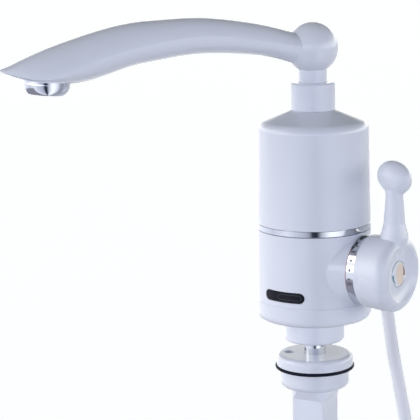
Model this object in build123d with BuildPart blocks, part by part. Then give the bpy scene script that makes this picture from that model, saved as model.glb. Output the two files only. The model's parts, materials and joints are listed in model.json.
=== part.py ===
from build123d import *
from math import asin, cos, pi, radians, sin, sqrt, tan
import os

# Instant electric heating tap for a sink. Millimetres, +Z up.
# The origin is the centre of the sink seal's underside. The display faces -Y and the handle turns about +X.

# Fits
fit = 0.3            # gap between pieces that pass each other
slip = 0.05          # radial clearance of a push or running fit
wall = 2.5           # moulded walls

# Sink flange, seal and fixing nut
seal_r = 23.1
seal_inner_r = 19.4
seal_t = 2.0
seal_round = 0.9
flange_r = 22.3
flange_t = 6.5
flange_edge = 2.6
key_hole_r = 3.1
key_hole_ring = 14.9
key_hole_turn = 206.0
key_hole_depth = 5.0
stem_r = 13.8
stem_length = 50.0
stem_flat_turns = (7.0, 97.0, 187.0, 277.0)
stem_flat_high = 13.5
stem_flat_low = 10.1
stem_flat_run = 7.0
nut_r = 20.1
nut_t = 11.0
nut_round = 3.4

# Supply tube and its fittings
tube_r = 6.3
tube_bore_r = 4.8
collar_r = 10.0
collar_t = 2.5
tube_nut_across = 22.0
tube_nut_t = 4.5
supply_r = 10.48     # G1/2 thread
supply_length = 15.0
supply_bore_r = 6.0
nipple_across = 24.0
nipple_hex_t = 8.0
nipple_socket = 6.5
strainer_r = 8.0
strainer_t = 1.4
strainer_hole_r = 0.9
strainer_pitch = 3.1
strainer_count = 5

# Lower housing
body_r = 33.0
neck_r = 17.4
neck_bottom = 16.9
neck_recess = 3.5
neck_round = 1.8
neck_root = 1.4
web_t = 3.0
bowl_bottom = 31.1
bowl_round = 3.6
seam_z = 42.4
seam_bevel = 0.35
lower_top = 84.0
ledge_t = 2.5
ledge_w = 5.5        # from the housing's outside in
post_r = 3.5
post_foot_r = 4.2
post_turns = (55.0, 180.0, 320.0)
post_top = 52.0
screw_r = 1.25
screw_head_r = 2.8
screw_head_t = 2.0
screw_sink = 5.4
screw_short = 1.0    # of the blind hole's end

# Trim ring and upper cover
trim_h = 3.5
trim_proud = 0.2
trim_w = 2.75        # from the housing's outside in
cover_draft = 1.1
cover_rim_z = 141.5
cover_round = 5.2
cover_round_in = 3.1
cover_round_up = 4.7
cover_inside_in = 1.5
cover_inside_down = 3.25
cover_top_z = 152.1
cover_flat_w = 0.4   # flat ring round the spout nut

# Heating chamber
plate_gap = 0.25     # between the chamber's base and the trim ring
plate_t = 3.0
gasket_t = 1.0
gasket_gap = 0.35    # from the gasket to the screws
gasket_step = 0.2    # from the tank's bore to the gasket
tank_wall = 1.2
tank_flange_t = 2.0
tank_shoulder_z = 136.0
tank_cone_z = 141.0
tank_boss_r = 14.0
outlet_r = 11.0
outlet_top_z = 163.0
outlet_bore_r = 8.2
tank_screw_count = 6
tank_screw_r = 1.45
tank_screw_head_r = 2.4
tank_screw_head_t = 2.0
tank_screw_gap = 0.2 # from the heads to the tank's side
element_tube_r = 2.5
element_coil_r = 14.0
element_pitch = 9.0
element_low_z = 99.0
element_half_turns = 7
element_bend_r = 6.0
element_leg_z = 79.0
cutout_r = 8.0
cutout_t = 6.0
cutout_turn = 148.0
cutout_gap = 0.6     # from the housing's ledge
cutout_pin_size = (0.8, 4.8)
cutout_pin_length = 4.0
cutout_pin_spacing = 8.0

# Spout nut
spout_nut_r = 12.8
spout_nut_h = 15.9
spout_nut_lip = 2.5
spout_nut_bevel = 0.8

# Valve, about the handle's axis
handle_z = 62.5
valve_r = 15.0
valve_back_x = -8.0
valve_seat_x = 7.0
valve_front_x = 20.0
disc_r = 11.4
disc_t = 3.0
port_r = 2.6
port_bore_r = 4.8
port_low = (0.0, -5.8)
port_high = (-4.0, 5.0)
passage_spot = (-2.0, 1.0)
passage_length = 17.0
passage_turn = 75.0
inlet_boss_r = 11.0
inlet_boss_z = 40.0
inlet_depth = 9.0
outlet_spot = (0.0, -5.0)
outlet_boss_r = 6.5
spigot_r = 4.5
spigot_bore_r = 3.0
spigot_length = 6.0
dog_size = (11.6, 3.6)
dog_t = 1.4
spindle_r = 4.0
spindle_flange_r = 9.5
spindle_flange_t = 2.9
spindle_flat = 3.2
spindle_reach = 16.2 # beyond the boss
bonnet_across = 20.0
bonnet_hex_t = 5.0
bonnet_nose_r = 8.0
spindle_seal_x = 20.5
spindle_seal_r = 0.8
valve_nut_t = 2.2

# Flow switch, behind the valve
diaphragm_r = 10.5
diaphragm_t = 1.0
switch_cap_r = 12.0
switch_room_r = 8.0
switch_room_depth = 4.6
plunger_disc_r = 7.0
plunger_disc_t = 1.5
plunger_rod_r = 2.5
plunger_show = 1.4
plunger_travel = 1.5
micro_size = (5.6, 16.0, 11.2)
micro_drop = 8.0
micro_gap = 1.6      # from the housing's wall
micro_pin_size = (0.8, 3.2, 4.0)
micro_pin_spacing = 10.0
shelf_t = 2.0

# Boss, dial ring and handle
boss_r = 20.0
boss_proud = 0.5     # of the housing's side
boss_root_r = 23.6
boss_root_x = 23.0
boss_edge = 0.6      # from the housing's lower and upper edge to the boss
dial_r = 20.3
dial_inner_r = 18.2
dial_web_inner_r = 12.6
dial_web_t = 1.2
dial_width = 5.2
knob_low_r = 20.8
knob_high_r = 22.1
knob_depth = 20.2
knob_round = 6.0
knob_hub_r = 7.0
knob_hub_sink = 1.0
knob_hub_free = 1.0
cap_r = 7.65
cap_t = 2.3
cap_sink = 2.8
cap_edge = 0.5
cap_dish_sag = 0.7    # of the dish's side, hollow towards the cap
cap_cup_wall = 2.3
cap_cup_slant = 1.0
screw_pocket_r = 4.6
screw_pocket_depth = 2.7
knob_screw_r = 1.9
knob_screw_head_r = 3.5
knob_screw_head_t = 2.2
knob_screw_length = 9.0
lever_back = 5.6     # from the knob's end
lever_foot_r = 8.0
lever_foot_z = 84.0
lever_root_r = 5.5
lever_belly_r = 7.5
lever_waist_r = 6.9
lever_waist_z = 88.2
lever_low_r = 6.1
lever_collar_z = 91.6
lever_neck_r = 5.0
lever_neck_z = 106.0
lever_head_z = 117.4
lever_head_half = (10.7, 6.6, 9.2)
lever_head_tilt = 26.0
lever_blend = 3.0

# Display
display_z = 48.8
display_width = 26.0
display_height = 6.2
display_lip = 2.0
display_lip_t = 1.0
display_proud = 0.15
board_size = (28.0, 1.6, 12.0)
digits_size = (16.0, 2.4, 5.0)

# Terminal block
terminal_width = 22.0
terminal_height = 11.0
terminal_x = -3.0
terminal_gap = 2.0   # from the valve's inlet
terminal_side_gap = 1.0
terminal_hole_r = 1.8
terminal_hole_depth = 5.0
terminal_pitch = 7.0
terminal_row_inset = 3.5

# Spout: its arm leaves the ball at rest to the left of the front
spout_turn = 234.0
ball_z = 187.3
ball_r = 14.6
spout_stem_r = 8.1
spout_stem_bottom = 147.0
stem_bore_r = 5.0
clip_r = 10.5
clip_t = 1.9
groove_r = 6.9
groove_w = 1.7
groove_z = (151.5, 157.5)
stem_ring_r = 0.6
arm_bore_r = 5.5
arm_fullness = 0.8
# Stations along the arm: distance, underside, side ridge, top, half width
arm_stations = (
    (5.0, 177.6, 188.2, 196.2, 10.6),
    (12.0, 179.1, 189.6, 196.8, 10.4),
    (22.0, 182.4, 191.5, 199.6, 10.6),
    (36.0, 185.2, 194.2, 203.0, 11.2),
    (55.0, 187.0, 197.3, 206.2, 12.0),
    (77.0, 186.9, 197.9, 207.6, 12.9),
    (99.0, 184.1, 195.4, 207.0, 13.9),
    (119.0, 179.4, 191.3, 204.3, 14.7),
    (137.0, 175.4, 184.8, 199.8, 15.4),
    (151.0, 175.6, 180.2, 195.6, 15.3),
    (163.0, 177.6, 179.8, 191.3, 13.0),
    (173.0, 180.6, 181.8, 187.1, 8.0),
    (180.0, 183.5, 184.0, 184.8, 2.0),
)
arm_bore_route = ((0.0, 188.5), (28.0, 193.0), (70.0, 198.0), (116.0, 193.0), (152.0, 184.5))
arm_bore_bends = (30.0, 60.0, 60.0)

# Aerator, square to a seat that leans outwards
aerator_s = 154.3
aerator_z = 177.4
aerator_lean = 5.0
aerator_seat_r = 13.2
aerator_seat_t = 5.0
aerator_thread_r = 11.0
aerator_thread_l = 7.5
aerator_r = 12.8
aerator_band = 1.3
aerator_skirt_r = 12.3
aerator_skirt_h = 4.6
aerator_show = 7.3
aerator_tip_r = 10.4
aerator_bore_r = 9.0
aerator_lip_r = 8.3
aerator_lip_t = 1.0
washer_t = 2.0
washer_inner_r = 6.0
insert_t = 9.0
insert_hole_r = 1.0
insert_hole_pitch = 3.2
insert_hole_count = 5

# Cord outlet and cord
cord_d = 8.0
hood_sink = 3.0      # from the housing's outside in
hood_z = 64.0
hood_drop = 30.0
hood_r = 8.0
hood_length = 8.0
hood_rim = 0.6       # of the hood's end that stays in sight
relief_neck_r = 5.4
relief_flange_r = 7.2
relief_flange_t = 2.5
relief_flange_s = -4.5
relief_shoulder_t = 2.0
relief_root_r = 6.6
relief_tip_r = 4.7
relief_tail = 19.0
relief_ribs = 4
relief_groove_w = 1.6
relief_groove_depth = 0.4
cord_tail_gap = 2.9  # from the valve
clamp_r = 6.0
clamp_w = 2.5
clamp_gap = 1.5
cord_route = (
    (0.0, 68.1, 42.0),
    (0.0, 78.1, 30.0),
    (0.8, 82.9, 14.5),
    (3.6, 83.2, -7.0),
    (8.6, 83.4, -31.0),
    (13.4, 84.0, -55.0),
    (15.0, 84.0, -74.0),
)
hank_top = -92.0
hank_fold_r = 24.0
hank_waist = 5.2
hank_pitch = 9.6
hank_lead = 8.0
hank_sway = 44.0
hank_tie_run = 14.0
hank_loops = 2
tie_h = 9.0
tie_t = 1.3
plug_r = 18.0
plug_length = 34.0
plug_boot_r = 6.5
plug_boot_length = 16.0
plug_boot_t = 0.8
plug_shoulder = 3.0
plug_cone = 5.0
plug_edge = 0.8
plug_pin_r = 2.4
plug_pin_length = 19.0
plug_pin_spacing = 19.0

# Heights and places that follow
flange_bottom = seal_t
flange_top = flange_bottom + flange_t
stem_bottom = flange_bottom - stem_length
web_bottom = neck_bottom + neck_recess
web_top = web_bottom + web_t
floor_z = bowl_bottom + wall
inner_r = body_r - wall
ledge_r = body_r - ledge_w
post_ring = inner_r - post_r + fit
trim_top = lower_top + trim_h
trim_inner_r = body_r - trim_w
cover_rim_r = body_r - cover_draft
cover_round_r = cover_rim_r - cover_round_in
cover_round_z = cover_rim_z + cover_round_up
cover_flat_r = spout_nut_r + cover_flat_w
plate_r = trim_inner_r - plate_gap
tank_screw_ring = plate_r - tank_screw_head_r
tank_r = tank_screw_ring - tank_screw_head_r - tank_screw_gap
tank_inner_r = tank_r - tank_wall
gasket_inner_r = tank_inner_r + gasket_step
gasket_outer_r = tank_screw_ring - tank_screw_r - gasket_gap
plate_top = lower_top + plate_t
tank_bottom = plate_top + gasket_t
boss_top_z = cover_top_z - wall
spout_nut_top = cover_top_z + spout_nut_h
inlet_top = inlet_boss_z + inlet_depth
moving_x = valve_seat_x + disc_t + slip
spindle_x = moving_x + disc_t + slip
bonnet_x = spindle_x + spindle_flange_t + fit
boss_x = body_r + boss_proud
bonnet_nose_x = boss_x + valve_nut_t
spindle_end_x = boss_x + spindle_reach
knob_x = boss_x + dial_width + fit
knob_hub_x = knob_x + knob_hub_sink
knob_end_x = knob_x + knob_depth
lever_x = knob_end_x - lever_back
cap_face_x = knob_end_x - cap_sink
dish_rim_r = knob_high_r - knob_round
recess_x = cap_face_x - cap_t
pocket_x = recess_x - screw_pocket_depth
switch_room_x = valve_back_x - switch_room_depth
lip_outer_r = inner_r - slip
lip_inner_r = lip_outer_r - display_lip_t
board_y = -(sqrt(lip_inner_r**2 - (board_size[0] / 2) ** 2) - fit - board_size[1])
terminal_out_y = sqrt((inner_r - terminal_side_gap) ** 2 - (terminal_width / 2 - terminal_x) ** 2)
terminal_in_y = inlet_boss_r + terminal_gap
terminal_depth = terminal_out_y - terminal_in_y
micro_back_x = -sqrt((inner_r - micro_gap) ** 2 - (micro_size[1] / 2) ** 2)
micro_x = micro_back_x + micro_size[0]
plunger_tip_x = micro_x + plunger_travel + fit
switch_cap_x = plunger_tip_x + plunger_show
hood_y = body_r - hood_sink
nipple_top = stem_bottom
nipple_hex_bottom = nipple_top - nipple_hex_t
supply_bottom = nipple_hex_bottom - supply_length


def turned(angle, radius):
    """Point on a circle about the origin, at an angle in degrees."""
    return (radius * cos(radians(angle)), radius * sin(radians(angle)))


def across(x):
    """Plane square to the handle's axis, with +Z as its second direction."""
    return Plane(origin=(x, 0, handle_z), x_dir=(0, 1, 0), z_dir=(1, 0, 0))


def rod(plane, radius, low, high, mode=Mode.ADD, spots=((0, 0),)):
    """Round bars or holes between two distances along the plane's normal."""
    with BuildSketch(plane.offset(low)) as ends:
        with Locations(*spots):
            Circle(radius)
    extrude(ends.sketch, amount=high - low, mode=mode)


def upright(radius, low, high, mode=Mode.ADD, spots=((0, 0),)):
    """Upright round bars or holes between two heights."""
    rod(Plane.XY, radius, low, high, mode, spots)


def hexagon(plane, size, low, high):
    """Hexagon bar, given its size across flats."""
    with BuildSketch(plane.offset(low)) as ends:
        RegularPolygon(size / 2, 6, major_radius=False)
    extrude(ends.sketch, amount=high - low)


def lathe(plane, outline, mode=Mode.ADD):
    """Turned solid about the plane's normal, from points of radius and height."""
    profile_plane = Plane(origin=plane.origin, x_dir=plane.x_dir, z_dir=-plane.y_dir)
    with BuildSketch(profile_plane) as profile:
        with BuildLine():
            Polyline(*outline, close=True)
        make_face()
    revolve(profile.sketch, axis=Axis(plane.origin, plane.z_dir), mode=mode)


def ring_seal(plane, centre_r, section_r, heights):
    """Ring seals of round section about the plane's normal."""
    for height in heights:
        profile_plane = Plane(origin=plane.origin, x_dir=plane.x_dir, z_dir=-plane.y_dir)
        with BuildSketch(profile_plane) as profile:
            with Locations((centre_r, height)):
                Circle(section_r)
        revolve(profile.sketch, axis=Axis(plane.origin, plane.z_dir))


def rim_edge(shape, height, radius):
    """Round edge of one radius at one height."""
    edges = shape.edges().filter_by(GeomType.CIRCLE)
    edges = edges.filter_by_position(Axis.Z, height - 0.01, height + 0.01)
    return edges.filter_by(lambda edge: abs(edge.radius - radius) < 0.01)


# Sink seal
with BuildPart() as deck_seal:
    upright(seal_r, 0, seal_t)
    upright(seal_inner_r, 0, seal_t, Mode.SUBTRACT)
    fillet(deck_seal.edges().filter_by(GeomType.CIRCLE), seal_round)

# Sink flange with its hollow threaded stem
with BuildPart() as deck_flange:
    upright(flange_r, flange_bottom, flange_top)
    upright(stem_r, stem_bottom, flange_bottom)
    upright(tube_r + slip, stem_bottom, flange_top, Mode.SUBTRACT)
    fillet(rim_edge(deck_flange.part, flange_top, flange_r), flange_edge)
    key_hole_spot = turned(key_hole_turn, key_hole_ring)
    upright(key_hole_r, flange_top - key_hole_depth, flange_top, Mode.SUBTRACT, (key_hole_spot,))
    # Four spanner flats that run in below the nut
    flat_start = -nut_t
    for flat_turn in stem_flat_turns:
        flat_x = Vector(*turned(flat_turn, 1))
        flat_side = Vector(*turned(flat_turn - 90, 1))
        with BuildSketch(Plane(origin=(0, 0, 0), x_dir=flat_x, z_dir=flat_side)):
            with BuildLine():
                Polyline(
                    (stem_flat_high, flat_start),
                    (stem_flat_low, flat_start - stem_flat_run),
                    (stem_flat_low, stem_bottom),
                    (stem_r + wall, stem_bottom),
                    (stem_r + wall, flat_start),
                    close=True,
                )
            make_face()
        extrude(amount=stem_r, both=True, mode=Mode.SUBTRACT)

# Cup nut under the sink
with BuildPart() as fixing_nut:
    upright(nut_r, -nut_t, 0)
    fillet(rim_edge(fixing_nut.part, -nut_t, nut_r), nut_round)
    upright(stem_r + slip, -nut_t, 0, Mode.SUBTRACT)

# Supply tube, held in the stem, with the collar under the neck's web
with BuildPart() as inlet_tube:
    upright(tube_r, nipple_top - nipple_socket, inlet_top - fit)
    upright(collar_r, web_bottom - collar_t, web_bottom)
    upright(tube_bore_r, nipple_top - nipple_socket, inlet_top, Mode.SUBTRACT)

with BuildPart() as tube_nut:
    hexagon(Plane.XY, tube_nut_across, web_top, web_top + tube_nut_t)
    upright(tube_r + slip, web_top, web_top + tube_nut_t, Mode.SUBTRACT)

# Nipple with the supply thread
with BuildPart() as inlet_nipple:
    hexagon(Plane.XY, nipple_across, nipple_hex_bottom, nipple_top)
    upright(supply_r, supply_bottom, nipple_hex_bottom)
    upright(supply_bore_r, supply_bottom, nipple_top, Mode.SUBTRACT)
    upright(tube_r + slip, nipple_top - nipple_socket - fit, nipple_top, Mode.SUBTRACT)
    upright(strainer_r, supply_bottom, supply_bottom + strainer_t + fit, Mode.SUBTRACT)

with BuildPart() as inlet_strainer:
    upright(strainer_r - slip, supply_bottom + fit, supply_bottom + fit + strainer_t)
    with BuildSketch(Plane.XY.offset(supply_bottom + fit)):
        with HexLocations(strainer_pitch / 2, strainer_count, strainer_count):
            Circle(strainer_hole_r)
        Circle(supply_bore_r, mode=Mode.INTERSECT)
    extrude(amount=strainer_t, mode=Mode.SUBTRACT)

# Lower housing
post_spots = [turned(angle, post_ring) for angle in post_turns]
hood_plane = Plane(
    origin=(0, hood_y, hood_z),
    x_dir=(1, 0, 0),
    z_dir=(0, cos(radians(hood_drop)), -sin(radians(hood_drop))),
)

# Boss: a cone that widens towards the housing, cut level below and above to stay within it
with BuildPart() as boss:
    lathe(across(0), ((0, 0), (boss_root_r, 0), (boss_root_r, boss_root_x), (boss_r, boss_x), (0, boss_x)))
    upright(2 * body_r, 0, seam_z + boss_edge, Mode.SUBTRACT)
    upright(2 * body_r, lower_top - boss_edge, lower_top + boss_r, Mode.SUBTRACT)

with BuildPart() as lower_body:
    upright(body_r, seam_z, lower_top)
    chamfer(rim_edge(lower_body.part, seam_z, body_r), seam_bevel)
    chamfer(rim_edge(lower_body.part, lower_top, body_r), seam_bevel)
    add(boss.part)
    rod(hood_plane, hood_r, -hood_length, hood_length)
    upright(inner_r, seam_z, lower_top - ledge_t, Mode.SUBTRACT)
    upright(ledge_r, seam_z, lower_top, Mode.SUBTRACT)
    rod(across(0), boss_r - wall, ledge_r / 2, boss_x - wall, Mode.SUBTRACT)
    rod(across(0), bonnet_nose_r + fit, 0, boss_x, Mode.SUBTRACT)
    rod(hood_plane, relief_neck_r + fit, -2 * hood_length, hood_length, Mode.SUBTRACT)
    upright(post_r, seam_z, post_top, spots=post_spots)
    upright(screw_r + slip, seam_z, post_top - wall, Mode.SUBTRACT, post_spots)
    with BuildSketch(Plane.XZ.offset(-board_y)):
        with Locations((0, display_z)):
            SlotOverall(display_width + 2 * slip, display_height + 2 * slip)
    extrude(amount=body_r, mode=Mode.SUBTRACT)

with BuildPart() as bottom_cover:
    upright(body_r, bowl_bottom, seam_z)
    fillet(rim_edge(bottom_cover.part, bowl_bottom, body_r), bowl_round)
    chamfer(rim_edge(bottom_cover.part, seam_z, body_r), seam_bevel)
    upright(neck_r, neck_bottom, bowl_bottom)
    fillet(rim_edge(bottom_cover.part, neck_bottom, neck_r), neck_round)
    fillet(rim_edge(bottom_cover.part, bowl_bottom, neck_r), neck_root)
    upright(inner_r, floor_z, seam_z, Mode.SUBTRACT)
    upright(neck_r - wall, web_top, floor_z, Mode.SUBTRACT)
    upright(neck_r - wall, neck_bottom, web_bottom, Mode.SUBTRACT)
    upright(tube_r + fit, web_bottom, web_top, Mode.SUBTRACT)
    upright(post_foot_r, floor_z, seam_z, spots=post_spots)
    upright(screw_r + fit, bowl_bottom, seam_z, Mode.SUBTRACT, post_spots)
    upright(screw_head_r + fit, bowl_bottom, bowl_bottom + screw_sink, Mode.SUBTRACT, post_spots)

screw_seat = bowl_bottom + screw_sink
with BuildPart() as housing_screws:
    upright(screw_head_r, screw_seat - screw_head_t, screw_seat, spots=post_spots)
    upright(screw_r, screw_seat, post_top - wall - screw_short, spots=post_spots)

with BuildPart() as chrome_trim_ring:
    upright(body_r + trim_proud, lower_top, trim_top)
    chamfer(rim_edge(chrome_trim_ring.part, lower_top, body_r + trim_proud), trim_proud)
    chamfer(rim_edge(chrome_trim_ring.part, trim_top, body_r + trim_proud), trim_proud)
    upright(trim_inner_r, lower_top, trim_top, Mode.SUBTRACT)

# Upper cover: tapered side, rounded rim and a flat cone up to the nut
with BuildPart() as upper_cover:
    with BuildSketch(Plane.XZ):
        with BuildLine():
            side = Line((body_r, trim_top), (cover_rim_r, cover_rim_z))
            rim = RadiusArc(side @ 1, (cover_round_r, cover_round_z), -cover_round)
            cone = Line(rim @ 1, (cover_flat_r, cover_top_z))
            Polyline(cone @ 1, (outlet_r + fit, cover_top_z), (outlet_r + fit, boss_top_z))
            Polyline(
                (outlet_r + fit, boss_top_z),
                (tank_boss_r, boss_top_z),
                (cover_round_r - cover_inside_in, cover_round_z - cover_inside_down),
                (cover_rim_r - wall, cover_rim_z - cover_inside_in),
                (inner_r, trim_top),
                (body_r, trim_top),
            )
        make_face()
    revolve(axis=Axis.Z)

# Heating chamber
tank_screw_spots = [turned(360 * n / tank_screw_count, tank_screw_ring) for n in range(tank_screw_count)]
with BuildPart() as heating_chamber:
    lathe(
        Plane.XY,
        (
            (tank_inner_r, tank_bottom),
            (plate_r, tank_bottom),
            (plate_r, tank_bottom + tank_flange_t),
            (tank_r, tank_bottom + tank_flange_t),
            (tank_r, tank_shoulder_z),
            (tank_boss_r, tank_cone_z),
            (tank_boss_r, boss_top_z),
            (outlet_r, boss_top_z),
            (outlet_r, outlet_top_z),
            (outlet_bore_r, outlet_top_z),
            (outlet_bore_r, tank_cone_z - tank_wall),
            (tank_inner_r, tank_shoulder_z - tank_wall),
        ),
    )
    upright(
        tank_screw_r + slip, tank_bottom, tank_bottom + tank_flange_t, Mode.SUBTRACT, tank_screw_spots
    )

element_spots = ((element_coil_r, -element_bend_r), (0, element_bend_r))
with BuildPart() as chamber_base:
    upright(plate_r, lower_top, plate_top)
    upright(spigot_r, lower_top - spigot_length, lower_top, spots=(outlet_spot,))
    upright(spigot_bore_r, lower_top - spigot_length, plate_top, Mode.SUBTRACT, (outlet_spot,))
    upright(element_tube_r + slip, lower_top, plate_top, Mode.SUBTRACT, element_spots)
    upright(tank_screw_r + slip, lower_top, plate_top, Mode.SUBTRACT, tank_screw_spots)

with BuildPart() as chamber_seal:
    upright(gasket_outer_r, plate_top, tank_bottom)
    upright(gasket_inner_r, plate_top, tank_bottom, Mode.SUBTRACT)

tank_screw_seat = tank_bottom + tank_flange_t
with BuildPart() as chamber_screws:
    upright(tank_screw_r, lower_top, tank_screw_seat, spots=tank_screw_spots)
    upright(
        tank_screw_head_r, tank_screw_seat, tank_screw_seat + tank_screw_head_t, spots=tank_screw_spots
    )

# Element: a coil of tilted half turns between two legs that come down through the base
with BuildPart() as heating_element:
    bend = element_bend_r * (1 - sqrt(0.5))
    first_leg = Vector(element_coil_r, -element_bend_r, element_leg_z)
    with BuildLine() as element_path:
        Line(first_leg, (element_coil_r, -element_bend_r, element_low_z - element_bend_r))
        ThreePointArc(
            (element_coil_r, -element_bend_r, element_low_z - element_bend_r),
            (element_coil_r, -element_bend_r + bend, element_low_z - bend),
            (element_coil_r, 0, element_low_z),
        )
        for n in range(element_half_turns):
            way = 1 if n % 2 == 0 else -1
            low_z = element_low_z + n * element_pitch / 2
            ThreePointArc(
                (way * element_coil_r, 0, low_z),
                (0, way * element_coil_r, low_z + element_pitch / 4),
                (-way * element_coil_r, 0, low_z + element_pitch / 2),
            )
        coil_top = element_low_z + element_half_turns * element_pitch / 2
        ThreePointArc(
            (-element_coil_r, 0, coil_top),
            (-element_coil_r / 2, -element_coil_r / 2, coil_top),
            (0, 0, coil_top),
        )
        ThreePointArc(
            (0, 0, coil_top),
            (0, element_bend_r - bend, coil_top - bend),
            (0, element_bend_r, coil_top - element_bend_r),
        )
        Line((0, element_bend_r, coil_top - element_bend_r), (0, element_bend_r, element_leg_z))
    with BuildSketch(Plane(origin=first_leg, z_dir=(0, 0, 1))):
        Circle(element_tube_r)
    sweep(path=element_path.wires()[0])

cutout_spot = turned(cutout_turn, ledge_r - cutout_r - cutout_gap)
with BuildPart() as thermal_cutout:
    upright(cutout_r, lower_top - cutout_t, lower_top, spots=(cutout_spot,))
    with BuildSketch(Plane.XY.offset(lower_top - cutout_t)):
        with Locations(cutout_spot):
            with GridLocations(cutout_pin_spacing, 0, 2, 1):
                Rectangle(*cutout_pin_size)
    extrude(amount=-cutout_pin_length)

with BuildPart() as spout_nut:
    upright(spout_nut_r, cover_top_z, spout_nut_top)
    chamfer(rim_edge(spout_nut.part, spout_nut_top, spout_nut_r), spout_nut_bevel)
    chamfer(rim_edge(spout_nut.part, cover_top_z, spout_nut_r), spout_nut_bevel / 2)
    upright(outlet_r + slip, cover_top_z, spout_nut_top - spout_nut_lip, Mode.SUBTRACT)
    upright(spout_stem_r + fit, cover_top_z, spout_nut_top, Mode.SUBTRACT)

# Valve body: inlet below, outlet above, chamber for the discs in front
with BuildPart() as valve_body:
    rod(across(0), valve_r, valve_back_x, valve_front_x)
    upright(inlet_boss_r, inlet_boss_z, handle_z - valve_r / 2)
    upright(outlet_boss_r, handle_z, lower_top - fit, spots=(outlet_spot,))
    rod(across(0), switch_cap_r + fit, 2 * valve_back_x, valve_back_x, Mode.SUBTRACT)
    rod(across(0), disc_r + slip, valve_seat_x, valve_front_x, Mode.SUBTRACT)
    upright(tube_r + slip, inlet_boss_z, inlet_top, Mode.SUBTRACT)
    upright(port_bore_r, inlet_boss_z, handle_z + port_low[1] + 2 * port_r, Mode.SUBTRACT)
    rod(across(0), port_r, valve_back_x, valve_seat_x, Mode.SUBTRACT, (port_low,))
    rod(across(0), port_r, 0, valve_seat_x, Mode.SUBTRACT, (port_high,))
    upright(spigot_bore_r, handle_z + port_high[1] - 2 * port_r, lower_top, Mode.SUBTRACT, (outlet_spot,))
    upright(
        spigot_r + slip, lower_top - spigot_length - fit, lower_top, Mode.SUBTRACT, (outlet_spot,)
    )

with BuildPart() as fixed_disc:
    rod(across(0), disc_r, valve_seat_x, valve_seat_x + disc_t)
    rod(across(0), port_r, valve_seat_x, valve_seat_x + disc_t, Mode.SUBTRACT, (port_low, port_high))

with BuildPart() as moving_disc:
    rod(across(0), disc_r - slip, moving_x, moving_x + disc_t)
    with BuildSketch(across(moving_x)):
        with Locations(passage_spot):
            SlotOverall(passage_length, 2 * port_r, rotation=passage_turn)
    extrude(amount=disc_t / 3, mode=Mode.SUBTRACT)
    with BuildSketch(across(moving_x + disc_t)):
        Rectangle(dog_size[1] + 2 * slip, dog_size[0] + 2 * slip)
    extrude(amount=-dog_t - slip, mode=Mode.SUBTRACT)

with BuildPart() as spindle:
    with BuildSketch(across(spindle_x)):
        Rectangle(dog_size[1], dog_size[0])
    extrude(amount=-dog_t)
    rod(across(0), spindle_flange_r, spindle_x, spindle_x + spindle_flange_t)
    rod(across(0), spindle_r, spindle_x, spindle_end_x)
    with BuildSketch(across(knob_hub_x)):
        with Locations((0, -spindle_flat - spindle_r)):
            Rectangle(2 * spindle_r, 2 * spindle_r)
    extrude(amount=spindle_end_x, mode=Mode.SUBTRACT)
    rod(across(0), knob_screw_r, spindle_end_x - knob_screw_length, spindle_end_x, Mode.SUBTRACT)

seal_groove = spindle_seal_r * 2 + fit
with BuildPart() as valve_bonnet:
    rod(across(0), disc_r, bonnet_x, valve_front_x)
    hexagon(across(0), bonnet_across, valve_front_x, valve_front_x + bonnet_hex_t)
    rod(across(0), bonnet_nose_r, valve_front_x, bonnet_nose_x)
    rod(across(0), spindle_r + slip, bonnet_x, bonnet_nose_x, Mode.SUBTRACT)
    rod(
        across(0), spindle_r + seal_groove, spindle_seal_x - seal_groove / 2,
        spindle_seal_x + seal_groove / 2, Mode.SUBTRACT,
    )

with BuildPart() as spindle_seal:
    ring_seal(across(0), spindle_r + spindle_seal_r + slip, spindle_seal_r, (spindle_seal_x,))

with BuildPart() as valve_nut:
    hexagon(across(0), bonnet_across, boss_x, boss_x + valve_nut_t)
    rod(across(0), bonnet_nose_r + slip, boss_x, boss_x + valve_nut_t, Mode.SUBTRACT)

# Flow switch: diaphragm, cap with its shelf, plunger and the sealed switch
with BuildPart() as flow_diaphragm:
    rod(across(0), diaphragm_r, valve_back_x - diaphragm_t, valve_back_x)

with BuildPart() as flow_switch_cap:
    rod(across(0), switch_cap_r, switch_cap_x, valve_back_x)
    rod(across(0), diaphragm_r + slip, valve_back_x - diaphragm_t, valve_back_x, Mode.SUBTRACT)
    rod(across(0), switch_room_r, switch_room_x, valve_back_x, Mode.SUBTRACT)
    rod(across(0), plunger_rod_r + slip, switch_cap_x, valve_back_x, Mode.SUBTRACT)
    with BuildSketch(across(switch_cap_x)):
        with Locations((0, -micro_drop - shelf_t / 2)):
            Rectangle(micro_size[1], shelf_t)
    extrude(amount=micro_x - micro_size[0] - switch_cap_x)

with BuildPart() as flow_plunger:
    plunger_x = valve_back_x - diaphragm_t - fit
    rod(across(0), plunger_disc_r, plunger_x - plunger_disc_t, plunger_x)
    rod(across(0), plunger_rod_r, plunger_tip_x, plunger_x)

with BuildPart() as micro_switch:
    with BuildSketch(across(micro_x)):
        with Locations((0, micro_size[2] / 2 - micro_drop)):
            Rectangle(micro_size[1], micro_size[2])
    extrude(amount=-micro_size[0])
    with BuildSketch(across(micro_x - micro_size[0] / 2)):
        with Locations((0, micro_size[2] - micro_drop + micro_pin_size[2] / 2)):
            with GridLocations(micro_pin_spacing, 0, 2, 1):
                Rectangle(*micro_pin_size[1:])
    extrude(amount=micro_pin_size[0] / 2, both=True)

# Dial ring on the boss
with BuildPart() as dial_ring:
    rod(across(0), dial_r, boss_x, boss_x + dial_width)
    rod(across(0), dial_inner_r, boss_x + dial_web_t, boss_x + dial_width, Mode.SUBTRACT)
    rod(across(0), dial_web_inner_r, boss_x, boss_x + dial_width, Mode.SUBTRACT)

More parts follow.
